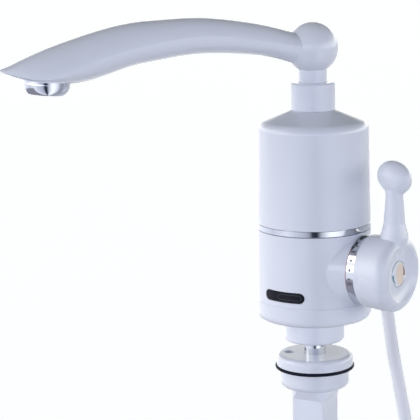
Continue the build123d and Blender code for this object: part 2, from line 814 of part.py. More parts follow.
# Handle: hollow knob, hub, cap recess and the lever
turn_axis = Axis((0, 0, handle_z), (1, 0, 0))
knob_side = Plane(origin=(0, 0, handle_z), x_dir=(1, 0, 0), z_dir=(0, -1, 0))
with BuildPart() as handle:
    with BuildSketch(knob_side):
        with BuildLine():
            slope = Line((knob_x, knob_low_r), (knob_end_x - knob_round, knob_high_r))
            RadiusArc(slope @ 1, (knob_end_x, knob_high_r - knob_round), knob_round)
            Polyline(
                (knob_end_x, knob_high_r - knob_round), (knob_end_x, 0), (knob_x, 0), (knob_x, knob_low_r)
            )
        make_face()
    revolve(axis=turn_axis)
    # Lever: flared foot and tapered shank
    with BuildSketch(Plane.XZ):
        with BuildLine():
            root_z = handle_z + knob_high_r - knob_round
            belly_z = (root_z + lever_foot_z) / 2
            Polyline((lever_x, lever_head_z), (lever_x, root_z), (lever_x + lever_root_r, root_z))
            ThreePointArc(
                (lever_x + lever_root_r, root_z), (lever_x + lever_belly_r, belly_z),
                (lever_x + lever_foot_r, lever_foot_z),
            )
            flare = ThreePointArc(
                (lever_x + lever_foot_r, lever_foot_z),
                (lever_x + lever_waist_r, lever_waist_z),
                (lever_x + lever_low_r, lever_collar_z),
            )
            Polyline(
                flare @ 1, (lever_x + lever_neck_r, lever_neck_z),
                (lever_x + lever_neck_r, lever_head_z), (lever_x, lever_head_z),
            )
        make_face()
    revolve(axis=Axis((lever_x, 0, 0), (0, 0, 1)))
    # Rounded head
    head = scale(Sphere(1, mode=Mode.PRIVATE), by=lever_head_half, mode=Mode.PRIVATE)
    head = head.rotate(Axis.Y, lever_head_tilt).moved(Location((lever_x, 0, lever_head_z)))
    add(head)
    near_head = handle.edges().filter_by_position(Axis.Z, lever_neck_z, lever_head_z)
    fillet(near_head.filter_by(lambda edge: edge.geom_type != GeomType.LINE), lever_blend)
    # Hollow inside, round the hub
    with BuildSketch(knob_side):
        with BuildLine():
            Polyline(
                (knob_x, knob_hub_r),
                (knob_x, knob_low_r - wall),
                (knob_end_x - knob_round, knob_high_r - wall),
                (knob_end_x - knob_round / 2, knob_high_r - knob_round / 2 - wall),
                (cap_face_x - wall, cap_r + cap_cup_wall + cap_cup_slant),
                (cap_face_x - wall, cap_r + cap_cup_wall),
                (recess_x - wall, cap_r + cap_cup_wall),
                (recess_x - wall, knob_hub_r),
                close=True,
            )
        make_face()
    revolve(axis=turn_axis, mode=Mode.SUBTRACT)
    rod(across(0), cap_r + slip, recess_x, knob_end_x, Mode.SUBTRACT)
    with BuildSketch(knob_side):
        with BuildLine():
            dish_start = Vector(cap_face_x, cap_r + slip)
            dish_end = Vector(knob_end_x, dish_rim_r)
            dish_middle = (dish_start + dish_end) * 0.5 - Vector(cap_dish_sag, 0)
            ThreePointArc(dish_start, dish_middle, dish_end)
            Polyline(dish_end, (knob_end_x, 0), (cap_face_x, 0), dish_start)
        make_face()
    revolve(axis=turn_axis, mode=Mode.SUBTRACT)
    rod(across(0), screw_pocket_r, pocket_x, recess_x, Mode.SUBTRACT)
    rod(across(0), knob_screw_r + fit, spindle_end_x, pocket_x, Mode.SUBTRACT)
    rod(across(0), knob_hub_r + knob_hub_free, knob_x, knob_hub_x, Mode.SUBTRACT)
    with BuildSketch(across(knob_hub_x)):
        Circle(spindle_r + slip)
        with Locations((0, -spindle_flat - slip - spindle_r)):
            Rectangle(2 * spindle_r, 2 * spindle_r, mode=Mode.SUBTRACT)
    extrude(amount=spindle_end_x + fit - knob_hub_x, mode=Mode.SUBTRACT)

with BuildPart() as handle_cap:
    rod(across(0), cap_r, recess_x, cap_face_x)
    fillet(handle_cap.faces().sort_by(Axis.X)[-1].edges(), cap_edge)

with BuildPart() as handle_screw:
    rod(across(0), knob_screw_head_r, pocket_x, pocket_x + knob_screw_head_t)
    rod(across(0), knob_screw_r - slip, spindle_end_x - knob_screw_length + fit, pocket_x)


def curved_plate(width, height, inner_r, outer_r):
    """Oblong plate cut from a thin upright tube round the housing's axis, on the front side."""
    with BuildPart() as plate:
        with BuildSketch(Plane.XZ.offset(body_r / 2)) as face:
            with Locations((0, display_z)):
                SlotOverall(width, height)
        extrude(face.sketch, amount=body_r)
        with BuildSketch(Plane.XY.offset(display_z - height)) as tube:
            Circle(outer_r)
            Circle(inner_r, mode=Mode.SUBTRACT)
        extrude(tube.sketch, amount=2 * height, mode=Mode.INTERSECT)
    return plate.part


# Display window with the lip that holds it behind the wall
pane = curved_plate(display_width, display_height, lip_outer_r - display_lip_t / 2, body_r + display_proud)
lip = curved_plate(
    display_width + 2 * display_lip, display_height + 2 * display_lip, lip_inner_r, lip_outer_r
)
with BuildPart() as display_window:
    add(pane)
    add(lip)

with BuildPart() as display_board:
    with BuildSketch(Plane.XZ.offset(-board_y)):
        with Locations((0, display_z)):
            Rectangle(board_size[0], board_size[2])
    extrude(amount=board_size[1])
    with BuildSketch(Plane.XZ.offset(-board_y + board_size[1])):
        with Locations((0, display_z)):
            Rectangle(digits_size[0], digits_size[2])
    extrude(amount=digits_size[1])

terminal_centre = (terminal_x, (terminal_in_y + terminal_out_y) / 2)
with BuildPart() as terminal_block:
    with BuildSketch(Plane.XY.offset(floor_z)):
        with Locations(terminal_centre):
            Rectangle(terminal_width, terminal_depth)
    extrude(amount=terminal_height)
    with BuildSketch(Plane.XY.offset(floor_z + terminal_height)):
        with Locations(terminal_centre):
            with GridLocations(terminal_pitch, terminal_depth - 2 * terminal_row_inset, 3, 2):
                Circle(terminal_hole_r)
    extrude(amount=-terminal_hole_depth, mode=Mode.SUBTRACT)

# Rubber bush round the cord, held by the hood at the rear
with BuildPart() as strain_relief:
    shoulder_s = hood_length + relief_shoulder_t
    rod(hood_plane, relief_flange_r, relief_flange_s - relief_flange_t, relief_flange_s)
    rod(hood_plane, relief_neck_r, relief_flange_s, hood_length)
    rod(hood_plane, hood_r - hood_rim, hood_length, shoulder_s)
    lathe(
        hood_plane,
        (
            (0, shoulder_s), (relief_root_r, shoulder_s),
            (relief_tip_r, shoulder_s + relief_tail), (0, shoulder_s + relief_tail),
        ),
    )
    groove_floor_r = relief_tip_r - relief_groove_depth
    rib_step = relief_tail / (relief_ribs + 1)
    for n in range(relief_ribs):
        groove_s = shoulder_s + rib_step * (n + 1) - relief_groove_w
        lathe(
            hood_plane,
            (
                (groove_floor_r, groove_s), (relief_root_r + slip, groove_s),
                (relief_root_r + slip, groove_s + relief_groove_w),
                (groove_floor_r, groove_s + relief_groove_w),
            ),
            Mode.SUBTRACT,
        )

relief_tip_s = hood_length + relief_shoulder_t + relief_tail
tail_start_s = relief_flange_s - relief_flange_t
tail_end_s = -(hood_y - valve_r - cord_tail_gap) / cos(radians(hood_drop))
with BuildPart() as cord_tail:
    rod(hood_plane, cord_d / 2, tail_end_s, tail_start_s)

with BuildPart() as cord_clamp:
    clamp_s = tail_start_s - clamp_gap - clamp_w
    rod(hood_plane, clamp_r, clamp_s, clamp_s + clamp_w)
    rod(hood_plane, cord_d / 2 + slip, clamp_s, clamp_s + clamp_w, Mode.SUBTRACT)

# Spout
arm_x, arm_y = turned(spout_turn, 1)


def arm_point(s, z):
    """Point in the arm's own upright plane."""
    return Vector(s * arm_x, s * arm_y, z)


def arm_section(s):
    """Plane square to the arm, with +Z as its second direction."""
    return Plane(origin=(s * arm_x, s * arm_y, 0), x_dir=(-arm_y, arm_x, 0), z_dir=(arm_x, arm_y, 0))


aerator_way = arm_point(sin(radians(aerator_lean)), -cos(radians(aerator_lean)))
aerator_plane = Plane(
    origin=arm_point(aerator_s, aerator_z), x_dir=(-arm_y, arm_x, 0), z_dir=aerator_way
)
clip_z = spout_nut_top - spout_nut_lip - slip - clip_t

with BuildPart() as spout:
    # Arm: each section has a full arch above its side ridges and a flatter one below
    for s, under, ridge, top, half in arm_stations:
        with BuildSketch(arm_section(s)):
            with BuildLine():
                arch = 4 / 3 * (top - ridge)
                keel = 4 / 3 * (under - ridge)
                pull = arm_fullness * half
                Bezier((-half, ridge), (-pull, ridge + arch), (pull, ridge + arch), (half, ridge))
                Bezier((half, ridge), (pull, ridge + keel), (-pull, ridge + keel), (-half, ridge))
            make_face()
    loft()
    with Locations((0, 0, ball_z)):
        Sphere(ball_r)
    upright(spout_stem_r, spout_stem_bottom, ball_z)
    upright(clip_r, clip_z, clip_z + clip_t)
    rod(aerator_plane, aerator_seat_r, -aerator_seat_t, 0)
    # Water way from the stem to the aerator's socket
    upright(stem_bore_r, spout_stem_bottom, ball_z, Mode.SUBTRACT)
    with BuildLine() as bore_path:
        FilletPolyline(*[arm_point(s, z) for s, z in arm_bore_route], radius=list(arm_bore_bends))
    with BuildSketch(Plane(origin=bore_path.line @ 0, z_dir=bore_path.line % 0)):
        Circle(arm_bore_r)
    sweep(path=bore_path.wires()[0], mode=Mode.SUBTRACT)
    rod(aerator_plane, aerator_r + fit, 0, aerator_show, Mode.SUBTRACT)
    rod(aerator_plane, aerator_thread_r + slip, -aerator_thread_l - fit, 0, Mode.SUBTRACT)
    for height in groove_z:
        lathe(
            Plane.XY,
            ((groove_r, height - groove_w / 2), (spout_stem_r + fit, height - groove_w / 2),
             (spout_stem_r + fit, height + groove_w / 2), (groove_r, height + groove_w / 2)),
            Mode.SUBTRACT,
        )

with BuildPart() as stem_seals:
    ring_seal(Plane.XY, groove_r + slip + stem_ring_r, stem_ring_r, groove_z)

# Aerator
aerator_side = Plane(origin=aerator_plane.origin, x_dir=aerator_plane.x_dir, z_dir=-aerator_plane.y_dir)
with BuildPart() as aerator_housing:
    with BuildSketch(aerator_side):
        with BuildLine():
            Polyline(
                (aerator_bore_r, -aerator_thread_l), (aerator_thread_r, -aerator_thread_l),
                (aerator_thread_r, 0), (aerator_r, 0), (aerator_r, aerator_band),
            )
            ThreePointArc(
                (aerator_r, aerator_band), (aerator_skirt_r, aerator_skirt_h), (aerator_tip_r, aerator_show)
            )
            Polyline(
                (aerator_tip_r, aerator_show), (aerator_lip_r, aerator_show),
                (aerator_lip_r, aerator_show - aerator_lip_t),
                (aerator_bore_r, aerator_show - aerator_lip_t),
                (aerator_bore_r, -aerator_thread_l),
            )
        make_face()
    revolve(axis=Axis(aerator_plane.origin, aerator_plane.z_dir))

insert_low = aerator_show - aerator_lip_t
with BuildPart() as aerator_insert:
    rod(aerator_plane, aerator_bore_r - slip, insert_low - insert_t, insert_low)
    with BuildSketch(aerator_plane.offset(insert_low - insert_t)):
        with HexLocations(insert_hole_pitch / 2, insert_hole_count, insert_hole_count):
            Circle(insert_hole_r)
        Circle(aerator_lip_r, mode=Mode.INTERSECT)
    extrude(amount=insert_t, mode=Mode.SUBTRACT)

with BuildPart() as aerator_washer:
    washer_low = insert_low - insert_t
    rod(aerator_plane, aerator_bore_r - slip, washer_low - washer_t, washer_low)
    rod(aerator_plane, washer_inner_r, washer_low - washer_t, washer_low, Mode.SUBTRACT)

# Free stretch of the cord: straight runs joined by arcs as large as the runs allow
cord_start = hood_plane.from_local_coords(Vector(0, 0, relief_tip_s))
hank_x = cord_route[-1][0] + hank_fold_r
hank_y = cord_route[-1][1]
cord_points = [cord_start] + [Vector(p) for p in cord_route] + [Vector(cord_route[-1][0], hank_y, hank_top)]
runs = [b - a for a, b in zip(cord_points, cord_points[1:])]
bend_radii = []
for a, b in zip(runs, runs[1:]):
    half_turn = radians(a.get_angle(b)) / 2
    bend_radii.append(0.45 * min(a.length, b.length) / tan(half_turn))
print("cord bend radii", [round(r, 1) for r in bend_radii])

with BuildPart() as power_cord:
    with BuildLine() as cord_path:
        FilletPolyline(*cord_points, radius=bend_radii)
    with BuildSketch(Plane(origin=cord_path.line @ 0, z_dir=cord_path.line % 0)):
        Circle(cord_d / 2)
    sweep(path=cord_path.wires()[0])

free_length = cord_path.wires()[0].length
print("cord volume over section times length", power_cord.part.volume / (pi * cord_d**2 / 4 * free_length))

# Hank: loops wound the same way, drawn in at the waist, each climbing one pitch along its upward run
hank_run = 2 * (hank_lead + hank_sway) + hank_tie_run
hank_low = hank_top - hank_run


def sway(start, end):
    """Two equal arcs that carry the cord sideways between two upright tangents."""
    middle = (start + end) * 0.5
    rise = end.Z - start.Z
    aside = Vector(end.X - start.X, end.Y - start.Y, 0)
    radius = (rise**2 + aside.length**2) / (4 * aside.length)
    half_angle = asin(abs(rise) / 2 / radius) / 2
    along = Vector(0, 0, radius * sin(half_angle) * (1 if rise > 0 else -1))
    out = aside.normalized() * radius * (1 - cos(half_angle))
    ThreePointArc(start, start + along + out, middle)
    ThreePointArc(middle, end - along - out, end)


def hank_leg(side, start_y, end_y, way):
    """One run of the hank, down for way -1 and up for way 1, drawn in to the waist at its middle."""
    start_z = hank_low if way > 0 else hank_top
    wide = hank_x + side * hank_fold_r
    narrow = hank_x + side * hank_waist
    middle_y = (start_y + end_y) / 2
    lead = way * hank_lead
    a = Vector(wide, start_y, start_z + lead)
    b = Vector(narrow, middle_y, a.Z + way * hank_sway)
    c = Vector(narrow, middle_y, b.Z + way * hank_tie_run)
    d = Vector(wide, end_y, c.Z + way * hank_sway)
    e = Vector(wide, end_y, d.Z + lead)
    Line(Vector(wide, start_y, start_z), a)
    sway(a, b)
    Line(b, c)
    sway(c, d)
    Line(d, e)


with BuildPart() as cord_hank:
    with BuildLine() as hank_path:
        for n in range(hank_loops):
            y = hank_y + n * hank_pitch
            hank_leg(-1, y, y, -1)
            ThreePointArc(
                (hank_x - hank_fold_r, y, hank_low), (hank_x, y, hank_low - hank_fold_r),
                (hank_x + hank_fold_r, y, hank_low),
            )
            hank_leg(1, y, y + hank_pitch, 1)
            ThreePointArc(
                (hank_x + hank_fold_r, y + hank_pitch, hank_top),
                (hank_x, y + hank_pitch, hank_top + hank_fold_r),
                (hank_x - hank_fold_r, y + hank_pitch, hank_top),
            )
        last_y = hank_y + hank_loops * hank_pitch
        hank_leg(-1, last_y, last_y, -1)
        Line((hank_x - hank_fold_r, last_y, hank_low), (hank_x - hank_fold_r, last_y, hank_low - hank_lead))
    with BuildSketch(Plane(origin=(hank_x - hank_fold_r, hank_y, hank_top), z_dir=(0, 0, -1))):
        Circle(cord_d / 2)
    sweep(path=hank_path.wires()[0])

hank_wire = hank_path.wires()[0]
steps = 700
spots = [hank_wire @ (n / steps) for n in range(steps + 1)]
apart = int(3 * cord_d * steps / hank_wire.length)
least_gap = min(
    (spots[i] - spots[j]).length for i in range(len(spots)) for j in range(i + apart, len(spots))
) - cord_d
print("hank least gap", round(least_gap, 2), "cord length", round(free_length + hank_wire.length, 1))

with BuildPart() as cord_tie:
    bundle_x = 2 * hank_waist + cord_d + 2 * fit
    bundle_y = hank_loops * hank_pitch + cord_d + 2 * fit
    tie_low = hank_top - hank_run / 2 - tie_h / 2
    with BuildSketch(Plane.XY.offset(tie_low)):
        with Locations((hank_x, hank_y + hank_loops * hank_pitch / 2)):
            RectangleRounded(bundle_x + 2 * tie_t, bundle_y + 2 * tie_t, cord_d / 2 + tie_t)
            RectangleRounded(bundle_x, bundle_y, cord_d / 2, mode=Mode.SUBTRACT)
    extrude(amount=tie_h)

# Plug, hanging from the hank's last run
plug_top = hank_low - hank_lead
plug_plane = Plane(origin=(hank_x - hank_fold_r, last_y, plug_top), x_dir=(1, 0, 0), z_dir=(0, 0, -1))
with BuildPart() as plug:
    lathe(
        plug_plane,
        (
            (0, 0), (cord_d / 2 + plug_boot_t, 0), (plug_boot_r, plug_boot_length),
            (plug_r - plug_shoulder, plug_boot_length + plug_cone),
            (plug_r, plug_boot_length + 2 * plug_cone),
            (plug_r, plug_boot_length + plug_length), (0, plug_boot_length + plug_length),
        ),
    )
    pin_root = plug_boot_length + plug_length
    pin_spots = ((-plug_pin_spacing / 2, 0), (plug_pin_spacing / 2, 0))
    rod(plug_plane, plug_pin_r, pin_root, pin_root + plug_pin_length, spots=pin_spots)
    fillet(plug.faces().group_by(Axis.Z)[0].edges(), plug_edge)

pieces = {
    "deck_seal": deck_seal, "deck_flange": deck_flange, "fixing_nut": fixing_nut,
    "inlet_tube": inlet_tube, "tube_nut": tube_nut, "inlet_nipple": inlet_nipple,
    "inlet_strainer": inlet_strainer, "lower_body": lower_body, "bottom_cover": bottom_cover,
    "housing_screws": housing_screws, "chrome_trim_ring": chrome_trim_ring, "upper_cover": upper_cover,
    "heating_chamber": heating_chamber, "chamber_base": chamber_base, "chamber_seal": chamber_seal,
    "chamber_screws": chamber_screws, "heating_element": heating_element,
    "thermal_cutout": thermal_cutout, "spout_nut": spout_nut, "valve_body": valve_body,
    "fixed_disc": fixed_disc, "moving_disc": moving_disc, "spindle": spindle,
    "valve_bonnet": valve_bonnet, "spindle_seal": spindle_seal, "valve_nut": valve_nut,
    "flow_diaphragm": flow_diaphragm, "flow_switch_cap": flow_switch_cap,
    "flow_plunger": flow_plunger, "micro_switch": micro_switch, "dial_ring": dial_ring,
    "handle": handle, "handle_cap": handle_cap, "handle_screw": handle_screw,
    "display_window": display_window, "display_board": display_board,
    "terminal_block": terminal_block, "strain_relief": strain_relief, "cord_tail": cord_tail,
    "cord_clamp": cord_clamp, "spout": spout, "stem_seals": stem_seals,
    "aerator_housing": aerator_housing, "aerator_insert": aerator_insert,
    "aerator_washer": aerator_washer, "power_cord": power_cord, "cord_hank": cord_hank,
    "cord_tie": cord_tie, "plug": plug,
}
os.makedirs("parts", exist_ok=True)
for piece_name, piece in pieces.items():
    piece.part.label = piece_name
    export_step(piece.part, f"parts/{piece_name}.step")
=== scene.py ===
import bpy
import json
from math import cos, pi, radians, sin, sqrt
from mathutils import Matrix, Vector


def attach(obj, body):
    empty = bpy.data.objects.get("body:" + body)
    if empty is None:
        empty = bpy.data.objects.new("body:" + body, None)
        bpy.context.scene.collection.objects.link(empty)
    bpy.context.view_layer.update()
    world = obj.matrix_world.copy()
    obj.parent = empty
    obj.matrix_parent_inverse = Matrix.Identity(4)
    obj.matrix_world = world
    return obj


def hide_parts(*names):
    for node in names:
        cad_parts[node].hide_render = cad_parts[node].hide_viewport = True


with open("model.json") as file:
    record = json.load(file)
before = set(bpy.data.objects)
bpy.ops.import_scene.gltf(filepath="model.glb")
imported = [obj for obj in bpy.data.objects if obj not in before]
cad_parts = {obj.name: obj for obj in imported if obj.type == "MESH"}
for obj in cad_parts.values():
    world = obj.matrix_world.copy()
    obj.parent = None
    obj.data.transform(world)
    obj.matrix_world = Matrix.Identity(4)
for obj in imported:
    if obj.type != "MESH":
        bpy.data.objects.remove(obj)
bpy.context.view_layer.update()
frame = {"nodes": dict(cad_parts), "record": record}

MM = 0.001
scene = bpy.context.scene
nodes = frame["nodes"]

# Camera, in the photograph's place
CAMERA_SPOT = (0.5623, -0.8759, 0.3030)
CAMERA_TURN = 36.0           # degrees from +Y towards -X
CAMERA_YAW = -0.011          # a last small turn, which the sky doesn't follow
CAMERA_DOWN = 11.34
CAMERA_ROLL = -1.07
PHOTO_SIDE = 420
FOCAL_PIXELS = 1839.0
SENSOR = 36.0
CAMERA_REACH = 20


def make_camera():
    data = bpy.data.cameras.new("camera")
    data.sensor_width = SENSOR
    data.lens = FOCAL_PIXELS / PHOTO_SIDE * SENSOR
    data.clip_end = CAMERA_REACH
    camera = bpy.data.objects.new("camera", data)
    scene.collection.objects.link(camera)
    camera.location = CAMERA_SPOT
    turn = Matrix.Rotation(radians(CAMERA_TURN + CAMERA_YAW), 4, "Z")
    tilt = Matrix.Rotation(radians(90 - CAMERA_DOWN), 4, "X")
    roll = Matrix.Rotation(radians(CAMERA_ROLL), 4, "Z")
    camera.matrix_world = Matrix.Translation(CAMERA_SPOT) @ turn @ tilt @ roll
    scene.camera = camera


make_camera()
scene.view_settings.view_transform = "Standard"


# Materials: scales are per metre, and a spread is the shares of a roughness at the noise's two ends
NOISE_ENDS = (0.3, 0.7)
NOISE_DETAIL = 3.0
CLOUD_SCALE = 18.0
CLOUD_ENDS = (0.35, 0.65)
SKIN_DETAIL = 2.0
SKIN_STRENGTH = 0.25
GLOSS_SPREAD = (0.85, 1.2)
PLASTIC_IOR = 1.5
COAT_ROUGH = 0.08
WEAR_SCALE = 60.0
WEAR_DETAIL = 5.0
WEAR_STRENGTH = 0.1
POLISH_SPREAD = (0.7, 1.5)
BRUSH_SCALE = 120.0
BRUSH_STRENGTH = 0.3
METAL_RELIEF = 0.00001
INK_SHADE = 0.86
INK_GRAIN = 1600.0
INK_RELIEF = 0.00001


def srgb(red, green, blue):
    """Linear colour from the 0 to 255 numbers of a display."""
    def linear(value):
        value /= 255
        return value / 12.92 if value <= 0.04045 else ((value + 0.055) / 1.055) ** 2.4
    return (linear(red), linear(green), linear(blue), 1.0)


def new_material(name, **settings):
    """Material with one Principled shader, and its node tree's helpers."""
    material = bpy.data.materials.new(name)
    material.use_nodes = True
    shader = material.node_tree.nodes["Principled BSDF"]
    for socket, value in settings.items():
        shader.inputs[socket.replace("_", " ")].default_value = value
    return material, material.node_tree, shader


def add_node(tree, kind, **settings):
    node = tree.nodes.new(kind)
    for key, value in settings.items():
        setattr(node, key, value)
    return node


def noise(tree, scale, detail=NOISE_DETAIL):
    """Noise over the object's own metres."""
    place = add_node(tree, "ShaderNodeTexCoord")
    texture = add_node(tree, "ShaderNodeTexNoise")
    texture.inputs["Scale"].default_value = scale
    texture.inputs["Detail"].default_value = detail
    tree.links.new(place.outputs["Object"], texture.inputs["Vector"])
    return texture.outputs["Fac"]


def blend_colours(tree, factor, first, second):
    """One colour that drifts into another with the noise."""
    ramp = add_node(tree, "ShaderNodeValToRGB")
    ramp.color_ramp.elements[0].position = CLOUD_ENDS[0]
    ramp.color_ramp.elements[1].position = CLOUD_ENDS[1]
    ramp.color_ramp.elements[0].color = first
    ramp.color_ramp.elements[1].color = second
    tree.links.new(factor, ramp.inputs["Fac"])
    return ramp.outputs["Color"]


def spread_value(tree, factor, low, high):
    """Value that goes from low to high with the noise."""
    spread = add_node(tree, "ShaderNodeMapRange")
    spread.inputs["From Min"].default_value = NOISE_ENDS[0]
    spread.inputs["From Max"].default_value = NOISE_ENDS[1]
    spread.inputs["To Min"].default_value = low
    spread.inputs["To Max"].default_value = high
    tree.links.new(factor, spread.inputs["Value"])
    return spread.outputs["Result"]


def bump(tree, shader, height, strength, distance):
    node = add_node(tree, "ShaderNodeBump")
    node.inputs["Strength"].default_value = strength
    node.inputs["Distance"].default_value = distance
    tree.links.new(height, node.inputs["Height"])
    tree.links.new(node.outputs["Normal"], shader.inputs["Normal"])


def moulded(name, colour, other, rough, grain=900.0, relief=0.00002, coat=0.0, shine=0.5):
    """Moulded plastic: slight cloudiness of colour, uneven gloss and a fine skin."""
    material, tree, shader = new_material(name)
    cloud = noise(tree, CLOUD_SCALE)
    skin = noise(tree, grain, SKIN_DETAIL)
    gloss = spread_value(tree, cloud, rough * GLOSS_SPREAD[0], rough * GLOSS_SPREAD[1])
    tree.links.new(blend_colours(tree, cloud, colour, other), shader.inputs["Base Color"])
    tree.links.new(gloss, shader.inputs["Roughness"])
    bump(tree, shader, skin, SKIN_STRENGTH, relief)
    shader.inputs["IOR"].default_value = PLASTIC_IOR
    shader.inputs["Specular IOR Level"].default_value = shine
    shader.inputs["Coat Weight"].default_value = coat
    shader.inputs["Coat Roughness"].default_value = COAT_ROUGH
    return material


def metal(name, colour, rough, brushed=0.0):
    """Metal with uneven polish, or with brushing along its height."""
    material, tree, shader = new_material(name, Metallic=1.0)
    shader.inputs["Base Color"].default_value = colour
    wear = noise(tree, WEAR_SCALE, WEAR_DETAIL)
    polish = spread_value(tree, wear, rough * POLISH_SPREAD[0], rough * POLISH_SPREAD[1])
    tree.links.new(polish, shader.inputs["Roughness"])
    if brushed:
        place = add_node(tree, "ShaderNodeTexCoord")
        stretch = add_node(tree, "ShaderNodeMapping")
        stretch.inputs["Scale"].default_value = (1.0, 1.0, brushed)
        lines = add_node(tree, "ShaderNodeTexNoise")
        lines.inputs["Scale"].default_value = BRUSH_SCALE
        tree.links.new(place.outputs["Object"], stretch.inputs["Vector"])
        tree.links.new(stretch.outputs["Vector"], lines.inputs["Vector"])
        bump(tree, shader, lines.outputs["Fac"], BRUSH_STRENGTH, METAL_RELIEF)
    else:
        bump(tree, shader, wear, WEAR_STRENGTH, METAL_RELIEF)
    return material


def inked(name, colour, rough=0.4):
    """Printed or moulded-in mark, also the painted shade line under the band: one colour with slightly
    uneven ink.
    """
    other = tuple(value * INK_SHADE for value in colour[:3]) + (1.0,)
    return moulded(name, colour, other, rough, grain=INK_GRAIN, relief=INK_RELIEF)


PLASTIC_WHITE = srgb(223, 226, 236)
PLASTIC_SHADE = srgb(221, 224, 234)
white = moulded("white_plastic", PLASTIC_WHITE, PLASTIC_SHADE, 0.13)
spout_white = moulded("spout_plastic", PLASTIC_WHITE, PLASTIC_SHADE, 0.18)
knob_white = moulded("knob_plastic", PLASTIC_WHITE, PLASTIC_SHADE, 0.26)
cord_white = moulded("cord_plastic", srgb(230, 231, 237), srgb(224, 225, 232), 0.42, grain=1400.0)
insert_grey = moulded("insert_plastic", srgb(150, 153, 162), srgb(138, 141, 150), 0.5)
dark = moulded("dark_plastic", srgb(38, 38, 42), srgb(46, 46, 50), 0.5)
black_rubber = moulded("black_rubber", srgb(12, 14, 30), srgb(17, 19, 36), 0.5, relief=0.00004, shine=0.12)
window_black = moulded("window_black", srgb(9, 9, 20), srgb(12, 12, 24), 0.10, shine=0.2)
board_green = moulded("circuit_board", srgb(34, 92, 52), srgb(28, 80, 46), 0.45)
ceramic = moulded("ceramic", srgb(236, 232, 222), srgb(228, 224, 214), 0.25)
cap_plain = moulded("cap_plastic", srgb(236, 240, 246), srgb(228, 234, 241), 0.18, coat=0.4)
chrome = metal("chrome", (0.62, 0.64, 0.68, 1.0), 0.07)
steel = metal("steel", (0.62, 0.62, 0.63, 1.0), 0.28, brushed=14.0)
brass = metal("brass", (0.66, 0.54, 0.33, 1.0), 0.28, brushed=10.0)
nickel = metal("nickel", (0.66, 0.64, 0.60, 1.0), 0.16)
# Grey of the painted shade line under the bright band
painted_shade_grey = inked("painted_shade_grey", srgb(112, 114, 134), 0.6)
ink_dark = inked("dark_ink", srgb(104, 100, 112))
ink_red = inked("red_ink", srgb(168, 128, 122))
ink_blue = inked("blue_ink", srgb(84, 138, 164))
cap_teal = inked("cap_blue", srgb(104, 142, 164), 0.25)
cap_peach = inked("cap_peach", srgb(244, 226, 210), 0.22)
cap_brown = inked("cap_brown", srgb(112, 74, 66), 0.3)
window_line = inked("window_line", srgb(70, 72, 92), 0.35)
BY_SLOT = {
    "white_plastic": white,
    "chrome": chrome,
    "brass": brass,
    "steel": steel,
    "black_rubber": black_rubber,
    "ceramic": ceramic,
    "dark_plastic": dark,
    "cap_plastic": cap_plain,
    "window_black": window_black,
    "circuit_board": board_green,
    "insert_plastic": insert_grey,
    "cord_rubber": cord_white,
}
BY_NODE = {"spout": spout_white, "handle": knob_white}


def dress_nodes():
    """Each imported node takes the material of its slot."""
    slot_of = {part["node"]: part["material_slot"] for part in frame["record"]["subparts"]}
    for name, node in nodes.items():
        node.data.materials.clear()
        node.data.materials.append(BY_NODE.get(name, BY_SLOT[slot_of[name]]))


dress_nodes()

# Cord: the free stretch's route and the hank's turns, in millimetres as in the solids
CORD_D = 8.0
HOOD = Vector((0, 30.0, 64.0))
HOOD_TILT = radians(30)
HOOD_WAY = Vector((0, cos(HOOD_TILT), -sin(HOOD_TILT)))
RELIEF_END = 29.0
exit_spot = HOOD + HOOD_WAY * RELIEF_END
CORD_ROUTE = (
    (0.0, 68.1, 42.0),
    (0.0, 78.1, 30.0),
    (0.8, 82.9, 14.5),
    (3.6, 83.2, -7.0),
    (8.6, 83.4, -31.0),
    (13.4, 84.0, -55.0),
    (15.0, 84.0, -74.0),
)
HANK_TOP = -92.0
HANK_FOLD = 24.0
HANK_WAIST = 5.2
HANK_PITCH = 9.6
HANK_LEAD = 8.0
HANK_SWAY = 44.0
HANK_TIE_RUN = 14.0
HANK_EASE = 13.0             # before and after each bend of a run
HANK_LOOPS = 2
FOLD_STEPS = 6
# Shares of the fold's radius at its ends and its middle, because the spline cuts inside its points
FOLD_REACH = (1.02, 1.045)
hank_x = CORD_ROUTE[-1][0] + HANK_FOLD
hank_y = CORD_ROUTE[-1][1]
hank_low = HANK_TOP - 2 * (HANK_LEAD + HANK_SWAY) - HANK_TIE_RUN


def hank_leg(side, start_y, end_y, way):
    """Points of one run, down for way -1 and up for way 1, drawn in to the waist at its middle."""
    start_z = hank_low if way > 0 else HANK_TOP
    wide = hank_x + side * HANK_FOLD
    narrow = hank_x + side * HANK_WAIST
    middle_y = (start_y + end_y) / 2
    a = start_z + way * HANK_LEAD
    b = a + way * HANK_SWAY
    c = b + way * HANK_TIE_RUN
    d = c + way * HANK_SWAY
    quarter_in = (start_y + middle_y) / 2
    quarter_out = (middle_y + end_y) / 2
    half = (wide + narrow) / 2
    return [
        (wide, start_y, start_z), (wide, start_y, a), (wide, start_y, a + way * HANK_EASE),
        (half, quarter_in, a + way * HANK_SWAY / 2),
        (narrow, middle_y, b - way * HANK_EASE), (narrow, middle_y, b), (narrow, middle_y, c),
        (narrow, middle_y, c + way * HANK_EASE),
        (half, quarter_out, c + way * HANK_SWAY / 2),
        (wide, end_y, d - way * HANK_EASE), (wide, end_y, d), (wide, end_y, d + way * HANK_LEAD),
    ]


def fold(y, z, way, first_side):
    """Points round a half turn at the end of the runs."""
    points = []
    for n in range(1, FOLD_STEPS):
        angle = pi * n / FOLD_STEPS
        reach = HANK_FOLD * (FOLD_REACH[1] if 1 < n < FOLD_STEPS - 1 else FOLD_REACH[0])
        points.append((hank_x + first_side * reach * cos(angle), y, z + way * reach * sin(angle)))
    return points


